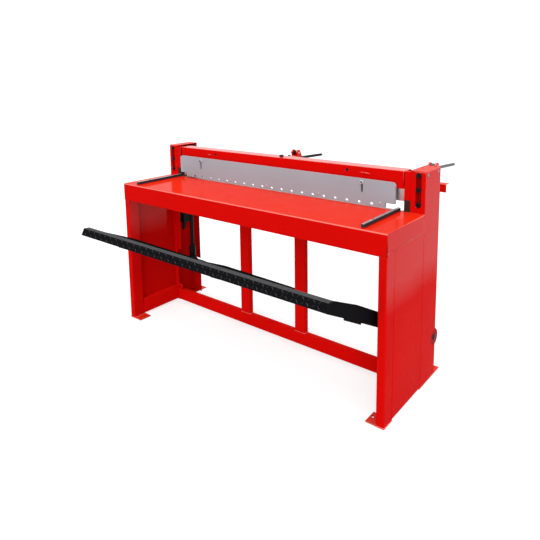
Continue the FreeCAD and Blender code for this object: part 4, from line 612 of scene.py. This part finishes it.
def build(name, parts, finish, body, sharp=35.0):
    """Joins parts into one mesh with closed poles and outward faces, and seats it on its body."""
    points, faces, start = [], [], 0
    for part_points, part_faces in parts:
        points.append(part_points)
        for block in part_faces:
            faces += (np.asarray(block) + start).tolist()
        start += len(part_points)
    mesh = bpy.data.meshes.new(name)
    mesh.from_pydata(np.concatenate(points).tolist(), [], faces)
    work = bmesh.new()
    work.from_mesh(mesh)
    bmesh.ops.remove_doubles(work, verts=work.verts, dist=2e-7)
    bmesh.ops.recalc_face_normals(work, faces=work.faces)
    work.to_mesh(mesh)
    work.free()
    return seated(name, mesh, finish, body, sharp)


def stand_in(node, parts, finish, look="turned", sharp=35.0):
    """A new piece in the place of a plain node, on the node's own body."""
    body = body_of(frame["nodes"][node])[0]
    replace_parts(build(f"{node}_{look}", parts, finish, body, sharp), node)


def rounded_copy(node, radius, shortest, steps, finish):
    """A copy of a node with its doubles merged, flat faces joined and long sharp edges rounded."""
    source = frame["nodes"][node]
    mesh = bpy.data.meshes.new(node + "_rounded")
    work = bmesh.new()
    work.from_mesh(source.data)
    bmesh.ops.remove_doubles(work, verts=work.verts, dist=1e-6)
    bmesh.ops.dissolve_limit(
        work, angle_limit=math.radians(0.5), verts=work.verts, edges=work.edges, delimit={"NORMAL"})
    work.to_mesh(mesh)
    work.free()
    weights = mesh.attributes.new("bevel_weight_edge", "FLOAT", "EDGE").data
    weights.foreach_set("value", long_sharp_edges(mesh, shortest))
    piece = seated(node + "_rounded", mesh, finish, body_of(source)[0])
    bevel = piece.modifiers.new("Folds", "BEVEL")
    bevel.limit_method = "WEIGHT"
    bevel.width, bevel.segments = radius, steps
    bevel.use_clamp_overlap = False
    flats = piece.modifiers.new("Flats", "WEIGHTED_NORMAL")
    flats.mode, flats.weight, flats.keep_sharp = "FACE_AREA", 100, True
    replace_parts(piece, node)
    return piece


def long_sharp_edges(mesh, shortest):
    """Weight 1 for each edge over the limit whose two faces meet at more than the fold angle, else 0."""
    work = bmesh.new()
    work.from_mesh(mesh)
    lengths = np.array([e.calc_length() for e in work.edges])
    angles = np.array([e.calc_face_angle(0.0) if len(e.link_faces) == 2 else 0.0 for e in work.edges])
    work.free()
    return ((lengths > shortest) & (angles > FOLD_ANGLE)).astype(np.float32)


def flare_sight_holes(points, flare):
    """Widens the back rim of each sight hole sideways: x = centre + flare (x - centre)."""
    low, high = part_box("hold_down_guard")
    level = low.z + SIGHT_RISE
    back = (points[:, 1] > (low.y + high.y) / 2) & (np.abs(points[:, 2] - level) < SIGHT_RADIUS + 1e-4)
    first, last = low.x + SIGHT_MARGIN, high.x - SIGHT_MARGIN
    pitch = (last - first) / (SIGHT_COUNT - 1)
    centre = first + pitch * np.round((points[:, 0] - first) / pitch)
    back &= np.hypot(points[:, 0] - centre, points[:, 2] - level) < SIGHT_RADIUS + 1e-4
    points[back, 0] = centre[back] + flare * (points[back, 0] - centre[back])


def fit_guard(mesh, folds):
    """Flares the guard's sight holes and draws its edges to their places in front of the ram.

    The upper corners keep their centres' diagonal and take the new radius, the right end and its notch
    move in, and the upper edge falls by a little more to the right.
    """
    points, corner, draw_in = mesh_points(mesh), folds.guard_corner, folds.guard_end
    flare_sight_holes(points, folds.flare)
    low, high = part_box("hold_down_guard")
    upper = points[:, 2] > high.z - 0.001
    for side, end in ((-1, low.x), (1, high.x)):
        centre = np.array([end - side * GUARD_CORNER, high.z - GUARD_CORNER])
        in_corner = (side * (points[:, 0] - centre[0]) > -1e-4) & (points[:, 2] > centre[1] - 1e-4)
        moved = np.array([end - side * corner, high.z - corner])
        points[in_corner, 0] = moved[0] + (points[in_corner, 0] - centre[0]) * corner / GUARD_CORNER
        points[in_corner, 2] = moved[1] + (points[in_corner, 2] - centre[1]) * corner / GUARD_CORNER
        upper |= in_corner
    share = (points[:, 0] - low.x) / (high.x - low.x)
    points[upper, 2] -= folds.guard_fall * (0.4 + 0.6 * share[upper])
    points[points[:, 0] > high.x - GUARD_END, 0] -= draw_in
    notch = np.abs(points[:, 0] - (high.x - GUARD_NOTCH)) < 0.001
    points[notch, 0] -= draw_in / 2
    mesh.vertices.foreach_set("co", points.ravel())
    mesh.update()


def colour(name, description, default):
    return FloatVectorProperty(
        name=name, description=description, default=default, min=0, max=1, size=3, subtype="COLOR")


def amount(name, description, default, low=0.0, high=1.0):
    return FloatProperty(name=name, description=description, default=default, min=low, max=high)


def length(name, description, default, low=0.0):
    return FloatProperty(name=name, description=description, default=default, min=low, unit="LENGTH")


def angle(name, description, degrees):
    return FloatProperty(
        name=name, description=description, default=math.radians(degrees), subtype="ANGLE", unit="ROTATION")


class ShearFinishes(bpy.types.PropertyGroup):
    """Colours and gloss of the shear."""

    red: colour("Red enamel", "Colour of the folded sheet frame", (0.62, 0.003, 0.002))
    dark_red: colour("Dark red enamel", "Colour of the bearing flanges", (0.36, 0.003, 0.004))
    grey: colour("Grey enamel", "Colour of the hold-down guard", (0.345, 0.41, 0.45))
    black: colour("Black enamel", "Colour of the treadle, guides and rest arms", (0.006, 0.006, 0.007))
    steel: colour("Bare steel", "Colour of the blades and zinc plated parts", (0.56, 0.55, 0.54))
    roughness: amount("Enamel roughness", "0 is a mirror, 1 is chalk", 0.3, 0.05, 0.9)
    gloss: amount("Enamel gloss", "Strength of the red enamel's sheen", 0.006)


class ShearFolds(bpy.types.PropertyGroup):
    """Rounding of the folded sheet metal, and the guard's edges."""

    outer_radius: length("Outer fold radius", "Rounding of long folded edges", 0.0025)
    table_radius: length("Table fold radius", "Rounding of the table's edges", 0.0035)
    shortest: length("Shortest rounded edge", "Edges below this length stay sharp", 0.012)
    flare: amount("Sight hole flare", "Width of the sight holes behind over in front", 2.4, 1.0, 3.0)
    guard_corner: length("Guard corner", "Radius of the guard's upper corners", 0.018, 0.001)
    guard_end: length("Guard end", "How far the guard's right end is drawn in", 0.011)
    guard_fall: length("Guard fall", "How far the guard's upper edge drops at the right", 0.007)
    steps: IntProperty(name="Fold steps", description="Faces round a fold", default=3, min=1, max=8)


class ShearFittings(bpy.types.PropertyGroup):
    """Turned parts, rest arms and the checker plate."""

    link_radius: length("Link rod radius", "Bore of the nuts", 0.01202, 0.001)
    shaft_radius: length("Pivot radius", "Journals of the treadle", 0.015, 0.001)
    knob_height: length("Knob height", "Knurled head of the gauge knobs", 0.014, 0.001)
    arm_radius: length("Rest arm radius", "Bar of the rest arms", 0.0075, 0.001)
    arm_hub_radius: length("Rest arm hub", "Radius of the hub", 0.012, 0.001)
    middle_drop: length("Middle arm drop", "Bar below the pin", 0.0316)
    right_drop: length("Right arm drop", "Bar below the pin", 0.012)
    middle_reach: length("Middle arm reach", "Pin to the end of the bar", 0.258, 0.01)
    right_reach: length("Right arm reach", "Pin to the end of the bar", 0.266, 0.01)
    middle_slope: angle("Middle arm slope", "Droop of the bar", 2.45)
    right_slope: angle("Right arm slope", "Droop of the bar", 3.5)
    treadle_slope: angle("Treadle slope", "Slope of the arms at rest", 28.1)
    pivot: FloatVectorProperty(
        name="Treadle axis", description="Depth and height of the axis", unit="LENGTH", size=2,
        default=(0.502 - DEPTH0, 0.191))
    tread_reach: length("Tread reach", "Axis to the tread's front", 0.917, 0.1)
    tread_depth: length("Tread depth", "Top of the tread, front to back", 0.029, 0.001)
    tread_nose: length("Tread nose", "Front edge above the axis line", 0.007)
    tread_rise: length("Tread rise", "Rear edge above the axis line", 0.020)
    tread_drop: length("Tread drop", "Lower edge below the axis line", 0.030)
    lug_length: length("Lug length", "Checker lug", 0.026, 0.001)
    lug_width: length("Lug width", "Checker lug", 0.007, 0.001)
    lug_height: length("Lug height", "Checker lug over the plate", 0.0011)
    lug_pitch: length("Lug pitch", "Lug to lug along the tread", 0.0235, 0.005)


class ShearStudio(bpy.types.PropertyGroup):
    """Light, floor and camera."""

    key: amount("Key light", "Strength of the soft front light", 1.35, 0, 20)
    overhead: amount("Overhead light", "Strength of the soft light from above", 2.9, 0, 20)
    sky: amount("Fill light", "Strength of the even fill light", 0.45, 0, 5)
    lens: FloatProperty(
        name="Lens", description="Focal length of the camera", subtype="DISTANCE_CAMERA", min=1,
        default=34.853)
    camera_place: FloatVectorProperty(
        name="Camera place", description="Where the camera stands", subtype="TRANSLATION", unit="LENGTH",
        size=3, default=(1.68579, -1.79988, 1.40597))
    azimuth: angle("Azimuth", "Turn of the camera round the shear", 39.140)
    pitch: angle("Pitch", "How far the camera looks down", 8.516)
    roll: angle("Roll", "Turn of the camera about its view", -0.787)
    rise: amount("Lens rise", "Vertical shift of the frame", -115.0 / 540.0, -1, 1)


class SHEAR_OT_finishes(bpy.types.Operator):
    """Makes the finishes and gives each node of the frame its own."""

    bl_idname = "shear.finishes"
    bl_label = "Finishes"

    def execute(self, context):
        make_groups()
        self.paint(context.scene.shear_finishes)
        self.bare_metal(tuple(context.scene.shear_finishes.steel))
        for node in frame["nodes"].values():
            slot = node.data.materials[0].name.split(".")[0]
            for place in node.material_slots:
                place.link = "OBJECT"
                place.material = bpy.data.materials[FINISH_OF_SLOT[slot]]
        return {"FINISHED"}

    def paint(self, given):
        """Enamels, and the pieces that are painted in part."""
        red, black, grey = tuple(given.red), tuple(given.black), tuple(given.grey)
        sheet = {"roughness": given.roughness, "peel": 420.0, "dust": 0.3, "gloss": given.gloss, "wave": 1.0}
        # Painted top light: the red enamel's faces that look up turn a lighter, more orange red over most of
        # their area.
        painted_top_light = {"dust_and_top_light_colour": (0.72, 0.07, 0.012), "even": 0.75}
        enamel("red_enamel", red, (0.75, 0.04, 0.03), wear=0.25, sheen_coat=sheen_coat_mask, fold_highlight=0.45, **sheet,
               **painted_top_light)
        # The ram takes the sheen coat at full strength on its top and folds, and a stronger painted
        # highlight on its folds.
        enamel("ram_enamel", red, (0.75, 0.06, 0.05), wear=0.3, fold_highlight=0.6, **sheet, **painted_top_light,
               sheen_coat=lambda graph: sheen_coat_mask(graph, 1.0, 1.0))
        # Painted light: the parts in the table's shade take the red made brighter, with slightly lighter red
        # patches on their tops.
        enamel("lit_inner_enamel", tuple(1.16 * c for c in red), (0.8, 0.04, 0.03), wear=0.25,
               dust_and_top_light_colour=(0.72, 0.03, 0.01), **sheet)
        enamel("dark_red_enamel", tuple(given.dark_red), (0.3, 0.01, 0.01), roughness=0.35, peel=380.0,
               wear=1.0, dust=0.04, gloss=0.01)
        enamel("grey_enamel", grey, (0.62, 0.61, 0.62), roughness=0.36, peel=520.0, wear=1.3, dust=0.02)
        enamel("bolt_grey", tuple(1.35 * c for c in grey), (0.7, 0.7, 0.7), roughness=0.3, peel=500.0,
               wear=1.0, dust=0.0, gloss=0.3)
        enamel("black_enamel", black, (0.05, 0.05, 0.055), roughness=0.4, peel=340.0, wear=0.6, dust=0.03,
               gloss=0.08)
        enamel("treadle_black", black, (0.03, 0.03, 0.035), roughness=0.42, peel=340.0, wear=0.3, dust=0.15,
               gloss=0.004, dust_and_top_light_colour=(0.06, 0.062, 0.065))
        # The tread and its lugs turn grey on the faces that look up: partly dust, partly painted top light.
        parted("tread_plate", black, (0.058, 0.061, 0.063), on_top, 0.42, 0.42, metallic=0.0, wear=0.15,
               gloss=0.004)
        parted("lug_black", tuple(1.5 * c for c in black), (0.066, 0.069, 0.071), on_top, 0.35, 0.35,
               metallic=0.0, wear=0.1, gloss=0.006)
        # The front guides are painted darker behind the column slots, as shade.
        parted("guide_finish", red, (0.055, 0.03, 0.024), low_on_guide, 0.3, 0.4, metallic=0.4,
               shade=behind_slot)
        parted("bar_finish", (0.03, 0.03, 0.033), (0.5, 0.5, 0.5), on_top, 0.35, 0.3, metallic=0.9)

    def bare_metal(self, steel):
        """Ground, plated, oiled and blackened steel."""
        metal("ground_blade", steel, 0.34, (60, 60, 900), bump=0.25)
        metal("zinc_plate", steel, 0.3, (160, 160, 30), bump=0.12, stain=(0.42, 0.4, 0.36))
        metal("dull_zinc", (0.24, 0.25, 0.26), 0.5, (200, 200, 200), bump=0.1, metallic=0.6, gloss=0.1)
        metal("oiled_steel", (0.05, 0.045, 0.042), 0.35, (200, 200, 40), bump=0.15, metallic=0.6,
              stain=(0.09, 0.05, 0.03))
        metal("arm_steel", (0.10, 0.105, 0.10), 0.38, (240, 40, 240), bump=0.2, metallic=0.9,
              stain=(0.06, 0.05, 0.045))
        metal("blackened", (0.008, 0.008, 0.009), 0.4, (300, 300, 300), bump=0.15, metallic=0.3,
              stain=(0.03, 0.02, 0.015), gloss=0.15, edge=0.02)
        metal("spring_wire", (0.2, 0.2, 0.21), 0.35, (500, 500, 500), bump=0.1)


class SHEAR_OT_sheet_metal(bpy.types.Operator):
    """Rounds the folds of the painted sheet metal and the edges of thick plates, and fits the guard."""

    bl_idname = "shear.sheet_metal"
    bl_label = "Sheet metal"

    def execute(self, context):
        folds = context.scene.shear_folds
        for node in RED_NODES:
            radius = folds.table_radius if node == "table_top" else folds.outer_radius
            coat = "ram_enamel" if node in RAM_NODES else "red_enamel"
            if node in INNER_NODES:
                coat = "lit_inner_enamel"
            rounded_copy(node, radius, folds.shortest, folds.steps, coat)
        for radius, finish, slot, *nodes in SOLID_NODES:
            for node in nodes:
                piece = rounded_copy(node, radius, folds.shortest / 2, 2, finish)
                if node == "hold_down_guard":
                    fit_guard(piece.data, folds)
        return {"FINISHED"}


class SHEAR_OT_screws(bpy.types.Operator):
    """Puts a turned screw with a six-sided recess in the place of each plain one."""

    bl_idname = "shear.screws"
    bl_label = "Screws"

    def execute(self, context):
        for node, way, radius, height, shank, recess, wide, tall, finish, slot in SCREWS:
            parts = []
            for low, high in solid_boxes(node):
                middle = (low + high) / 2
                axis = {"front": (0, -1, 0), "back": (0, 1, 0), "up": (0, 0, 1),
                        "out": (math.copysign(1, middle[0]), 0, 0)}[way]
                across = int(np.argmax(np.abs(axis)))
                sign = axis[across]
                middle[across] = (high if sign > 0 else low)[across] - sign * height
                length = high[across] - low[across] - height
                if length > 1e-4:
                    made = screw(radius, height, shank, length, recess, wide, tall)
                else:
                    made = screw(radius, height - SCREW_STUB, radius, SCREW_STUB, recess, wide, tall)
                    middle[across] += sign * SCREW_STUB
                parts.append(placed(made, middle, axis))
            stand_in(node, parts, finish)
        return {"FINISHED"}


class SHEAR_OT_pins(bpy.types.Operator):
    """Turns the nuts, pins, shafts and knobs, with chamfers, grooves and a knurl."""

    bl_idname = "shear.pins"
    bl_label = "Pins and nuts"

    def execute(self, context):
        given = context.scene.shear_fittings
        nuts = []
        for low, high in solid_boxes("link_nuts"):
            foot = ((low[0] + high[0]) / 2, (low[1] + high[1]) / 2, low[2])
            made = nut((high[1] - low[1]) / 2, high[2] - low[2], given.link_radius, math.pi / 6)
            nuts.append(placed(made, foot, (0, 0, 1)))
        stand_in("link_nuts", nuts, "blackened")
        pins = [placed(pin(radius, length, 0.0025), start, axis)
                for radius, length, start, axis in lying_solids("link_pins")]
        stand_in("link_pins", pins, "blackened")
        pins = [placed(pin(radius, length, 0.004), start, axis)
                for radius, length, start, axis in lying_solids("rest_arm_pins", -1)]
        stand_in("rest_arm_pins", pins, "zinc_plate")
        shafts = [placed(shaft(plug, given.shaft_radius, length), start, axis)
                  for plug, length, start, axis in lying_solids("pivot_shafts")]
        stand_in("pivot_shafts", shafts, "blackened")
        knobs = [placed(part, start, axis)
                 for radius, length, start, axis in lying_solids("gauge_knobs")
                 for part in knob(radius, length, given.knob_height)]
        stand_in("gauge_knobs", knobs, "blackened", look="knurled", sharp=50.0)
        return {"FINISHED"}


class SHEAR_OT_rest_arms(bpy.types.Operator):
    """Turns the two rear rest arms: a hub with chamfers and a bar with a rounded end."""

    bl_idname = "shear.rest_arms"
    bl_label = "Rest arms"

    def execute(self, context):
        given = context.scene.shear_fittings
        self.arm(given, "middle", given.middle_drop, given.middle_slope, given.middle_reach, "black_enamel",
                 "black_paint")
        self.arm(given, "right", given.right_drop, given.right_slope, given.right_reach, "arm_steel",
                 "black_oxide")
        return {"FINISHED"}

    def arm(self, given, side, sunk, slope, reach, finish, slot):
        """A hub, and a bar that sinks by a half cosine wave beside it and then droops at the slope."""
        low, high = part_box(f"{side}_rest_arm")
        width, hub = high.x - low.x, given.arm_hub_radius
        pivot = ((low.x + high.x) / 2, low.y + hub, high.z - hub)
        bore, chamfer, bend, tip, tip_steps = 0.0052, 0.001, 0.058, 0.012, 6
        rings = [(bore, 0), (hub - chamfer, 0), (hub, chamfer), (hub, width - chamfer),
                 (hub - chamfer, width), (bore, width)]
        ring = placed(turned(rings, segments=32, ring=True), (low.x, pivot[1], pivot[2]), (1, 0, 0))
        end = np.linspace(0.2, math.pi / 2, tip_steps)
        run = np.concatenate([
            np.linspace(hub * 0.7, bend, 18), np.linspace(0.08, reach - tip, 5),
            reach - tip * (1 - np.sin(end))])
        sink = np.clip((run - hub) / (0.013 + sunk), 0, 1)
        drop = sunk * (1 - np.cos(math.pi * sink)) / 2 + math.tan(slope) * run
        path = np.column_stack([np.full(len(run), pivot[0]), pivot[1] + run, pivot[2] - drop])
        swell = 1 - 0.25 * np.exp(-((run - hub) / 0.01) ** 2)
        swell[-tip_steps:] *= np.clip(np.cos(end), 0.2, 1) ** 0.5
        bar = carried(circle(given.arm_radius, 20), path, swell)
        stand_in(f"{side}_rest_arm", [ring, bar], finish)


class SHEAR_OT_checker(bpy.types.Operator):
    """Raises the lugs of the checker plate on the tread's top and front."""

    bl_idname = "shear.checker"
    bl_label = "Checker lugs"

    def execute(self, context):
        given = context.scene.shear_fittings
        low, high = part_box("tread_bar")
        slope = given.treadle_slope
        pivot = np.array([0.0, given.pivot[0], given.pivot[1]])
        fore = np.array([0.0, -math.cos(slope), math.sin(slope)])
        over = np.array([0.0, math.sin(slope), math.cos(slope)])
        corner = pivot + given.tread_reach * fore + given.tread_nose * over
        rear = pivot + (given.tread_reach - given.tread_depth) * fore + given.tread_rise * over
        foot = pivot + given.tread_reach * fore - given.tread_drop * over
        count = int((high.x - low.x - LUG_MARGIN) / given.lug_pitch)
        starts = (low.x + high.x) / 2 + (np.arange(count) - (count - 1) / 2) * given.lug_pitch
        lens, faces = lug(given.lug_length, given.lug_width, given.lug_height)
        turned_width = given.lug_length * LUG_SINE + given.lug_width * 0.5
        parts = []
        for edge_from, edge_to, rows in ((corner, rear, 1), (foot, corner, 2)):
            fall = edge_to - edge_from
            span = float(np.linalg.norm(fall))
            up = fall / span
            normal = np.cross((1.0, 0.0, 0.0), up)
            size = min(1.0, LUG_FILL * span / rows / turned_width)
            points = lens * (size, size, 1)
            for row in range(rows):
                middle = edge_from + fall * ((row + 0.5) / rows)
                for number, x in enumerate(starts):
                    turn = math.pi / 4 if (number + row) % 2 else -math.pi / 4
                    c, s = math.cos(turn), math.sin(turn)
                    across = points[:, 0] * c - points[:, 1] * s
                    rise = points[:, 0] * s + points[:, 1] * c
                    spot = (middle + np.array([x, 0, 0]) + across[:, None] * np.array([1.0, 0, 0])
                            + rise[:, None] * up + points[:, 2:] * normal)
                    parts.append((spot, faces))
        build("tread_checker", parts, "lug_black", "treadle")
        return {"FINISHED"}


class SHEAR_OT_fittings(bpy.types.Operator):
    """Adds the small bolts, black discs of painted shade in the shoulder bolts' sockets, the gussets and the
    weld beads.
    """

    bl_idname = "shear.fittings"
    bl_label = "Bolts and welds"

    def execute(self, context):
        self.bolts()
        self.sockets()
        self.gussets()
        self.welds()
        return {"FINISHED"}

    def bolts(self):
        """The bolts on the ram, the rear tube and the bearings."""
        place = (*RAM_BOLT_PLACE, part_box("ram_beam")[1].z)
        bolt = placed(hex_bolt(*RAM_BOLT), place, (0, 0, 1))
        build("ram_top_bolt", [bolt], "blackened", "ram")
        low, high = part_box("rear_cross_tube")
        bolts = [placed(hex_bolt(*TUBE_BOLT), (x, (low.y + high.y) / 2, high.z), (0, 0, 1))
                 for x in TUBE_BOLTS_ACROSS]
        build("rear_tube_bolts", bolts, "blackened", "frame")
        bolts = []
        for low, high in solid_boxes("pivot_bearings"):
            sign = math.copysign(1, low[0])
            face = (high if sign > 0 else low)[0] - sign * (FRAME_SHEET + BEARING_FLANGE)
            for y, z in circle(BEARING_CIRCLE, 8)[1::2]:
                spot = (face, (low[1] + high[1]) / 2 + y, (low[2] + high[2]) / 2 + z)
                bolts.append(placed(hex_bolt(*BEARING_BOLT), spot, (-sign, 0, 0)))
        build("bearing_bolts", bolts, "blackened", "frame")

    def sockets(self):
        """Black six-sided discs in the sockets of the shoulder bolts: painted shade of the recesses."""
        sockets = []
        for low, high in solid_boxes("shoulder_bolts"):
            wide, proud = LEFT_SOCKET_SHADE if low[0] < 0 else RIGHT_SOCKET_SHADE
            middle = ((low[0] + high[0]) / 2, low[1] - proud, (low[2] + high[2]) / 2)
            rows = [(0, -SOCKET_SHADE_DEPTH), (wide, -SOCKET_SHADE_DEPTH), (wide, 0), (0, 0)]
            sockets.append(placed(turned(rows, flats=(1, 2)), middle, (0, -1, 0)))
        build("shoulder_socket_shades", sockets, "black_enamel", "ram")

    def gussets(self):
        """A three-cornered plate behind each cheek of the rear brackets."""
        gussets = []
        for low, high in solid_boxes("rear_brackets"):
            rear = -high[1]
            outline = [(rear, low[2]), (rear - GUSSET_REACH, low[2]), (rear, high[2] - GUSSET_DROP)]
            for start in (low[0], high[0] - CHEEK):
                ends = [(start + GUSSET_INSET, 0, 0), (start + CHEEK - GUSSET_INSET, 0, 0)]
                gussets.append(carried(outline, ends))
        build("bracket_gussets", gussets, "red_enamel", "frame")

    def welds(self):
        """Beads round the posts and the feet, and where the brackets stand on the rear tube."""
        welds = []
        for low, high in solid_boxes("support_posts"):
            welds += bead_round(low, high, low[2], FRAME_BEAD) + bead_round(low, high, high[2], FRAME_BEAD)
        for side in ("left", "right"):
            welds += bead_round(*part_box(f"{side}_front_leg"), FOOT_BEAD_LEVEL, FRAME_BEAD)
        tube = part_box("rear_cross_tube")[1]
        for low, high in solid_boxes("rear_brackets"):
            near = [(x, low[1], tube.z) for x in (low[0], high[0])]
            welds.append(bead(*near, BRACKET_BEAD))
            welds += [bead(place, (place[0], tube.y, tube.z), BRACKET_BEAD) for place in near]
        build("weld_beads", welds, "red_enamel", "frame", sharp=60.0)


class SHEAR_OT_studio(bpy.types.Operator):
    """Sets up the pale floor, the soft light and the camera."""

    bl_idname = "shear.studio"
    bl_label = "Studio"

    def execute(self, context):
        scene, given = context.scene, context.scene.shear_studio
        scene.view_settings.view_transform = "Standard"
        scene.world = self.world(given.sky)
        floor, eye = self.floor(), self.camera(given)
        key = self.lamp("key", given.key, 40, (0.35, -0.85, 0.5))
        overhead = self.lamp("overhead", given.overhead, 70, (0.25, -0.1, 1))
        for made in (floor, key, overhead, eye):
            scene.collection.objects.link(made)
        scene.camera = eye
        return {"FINISHED"}

    def seen(self, graph):
        """1 for rays from the camera and through gloss or glass, 0 for rays that light the shear."""
        rays = graph.add("ShaderNodeLightPath").outputs
        seen = graph.math("MAXIMUM", rays["Is Camera Ray"], rays["Is Transmission Ray"])
        return graph.math("MAXIMUM", seen, rays["Is Glossy Ray"])

    def world(self, sky):
        """White where it is seen, and a soft even fill for the light."""
        world = bpy.data.worlds.new("studio")
        graph = bare_graph(world)
        fill = graph.add("ShaderNodeBackground", {"Color": (0.97, 0.98, 1, 1), "Strength": sky})
        white = graph.add("ShaderNodeBackground", {"Color": (1, 1, 1, 1), "Strength": 1.0})
        mixed = graph.add(
            "ShaderNodeMixShader", {0: self.seen(graph), 1: fill.outputs[0], 2: white.outputs[0]})
        graph.add("ShaderNodeOutputWorld", {"Surface": mixed.outputs[0]})
        return world

    def floor(self):
        """A round floor that shows white with a shadow, and gives back half of the light."""
        graph = bare_graph(bpy.data.materials.new("pale_floor"))
        plain = graph.add("ShaderNodeBsdfDiffuse", {"Color": (0.55, 0.55, 0.55, 1)})
        shown = graph.add("ShaderNodeBsdfDiffuse", {"Color": (0.4, 0.4, 0.4, 1)})
        glow = graph.add("ShaderNodeEmission", {"Color": (1, 1, 1, 1), "Strength": 0.68})
        pale = graph.add("ShaderNodeAddShader", {0: shown.outputs[0], 1: glow.outputs[0]})
        mixed = graph.add(
            "ShaderNodeMixShader", {0: self.seen(graph), 1: plain.outputs[0], 2: pale.outputs[0]})
        graph.add("ShaderNodeOutputMaterial", {"Surface": mixed.outputs[0]})
        mesh = bpy.data.meshes.new("floor")
        ring = np.column_stack([circle(FLOOR_RADIUS, FLOOR_CORNERS), np.zeros(FLOOR_CORNERS)])
        mesh.from_pydata(ring.tolist(), [], [tuple(range(FLOOR_CORNERS))])
        mesh.materials.append(bpy.data.materials["pale_floor"])
        return bpy.data.objects.new("floor", mesh)

    def lamp(self, name, strength, spread, way):
        """A soft light as wide as the spread in degrees, from the given way."""
        light = bpy.data.lights.new(name, "SUN")
        light.energy, light.angle = strength, math.radians(spread)
        lamp = bpy.data.objects.new(name, light)
        lamp.rotation_mode = "QUATERNION"
        lamp.rotation_quaternion = Vector(way).to_track_quat("Z", "Y")
        return lamp

    def camera(self, given):
        """The camera at its place, turned by its azimuth, pitch and roll."""
        camera = bpy.data.cameras.new("camera")
        camera.sensor_width, camera.lens = 36.0, given.lens
        camera.shift_y = given.rise
        camera.clip_start, camera.clip_end = 0.05, 60.0
        eye = bpy.data.objects.new("camera", camera)
        a, e = given.azimuth, given.pitch
        back = Vector((math.sin(a) * math.cos(e), -math.cos(a) * math.cos(e), math.sin(e)))
        right = Vector((math.cos(a), math.sin(a), 0))
        basis = Matrix((right, back.cross(right), back)).transposed()
        basis = basis @ Matrix.Rotation(given.roll, 3, "Z")
        eye.matrix_world = Matrix.Translation(Vector(given.camera_place)) @ basis.to_4x4()
        return eye


class SHEAR_PT_panel(bpy.types.Panel):
    """Sizes, colours and steps of the shear."""

    bl_label = "Guillotine shear"
    bl_idname = "SHEAR_PT_panel"
    bl_space_type = "VIEW_3D"
    bl_region_type = "UI"
    bl_category = "Shear"

    def draw(self, context):
        layout = self.layout
        for name, _ in GROUPS:
            group = getattr(context.scene, name)
            box = layout.box()
            for key in group.bl_rna.properties.keys():
                if key not in ("rna_type", "name"):
                    box.prop(group, key)
        for step in STEPS:
            layout.operator(step.bl_idname)


GROUPS = (
    ("shear_finishes", ShearFinishes), ("shear_folds", ShearFolds), ("shear_fittings", ShearFittings),
    ("shear_studio", ShearStudio))
STEPS = (
    SHEAR_OT_finishes, SHEAR_OT_sheet_metal, SHEAR_OT_screws, SHEAR_OT_pins, SHEAR_OT_rest_arms,
    SHEAR_OT_checker, SHEAR_OT_fittings, SHEAR_OT_studio)
CLASSES = (*(group for _, group in GROUPS), *STEPS, SHEAR_PT_panel)


def register():
    for kind in CLASSES:
        bpy.utils.register_class(kind)
    for name, group in GROUPS:
        setattr(bpy.types.Scene, name, PointerProperty(type=group))


def unregister():
    for name, _ in GROUPS:
        delattr(bpy.types.Scene, name)
    for kind in reversed(CLASSES):
        bpy.utils.unregister_class(kind)


def main():
    register()
    bpy.ops.shear.finishes()
    bpy.ops.shear.sheet_metal()
    bpy.ops.shear.screws()
    bpy.ops.shear.pins()
    bpy.ops.shear.rest_arms()
    bpy.ops.shear.checker()
    bpy.ops.shear.fittings()
    bpy.ops.shear.studio()


if __name__ == "__main__":
    main()
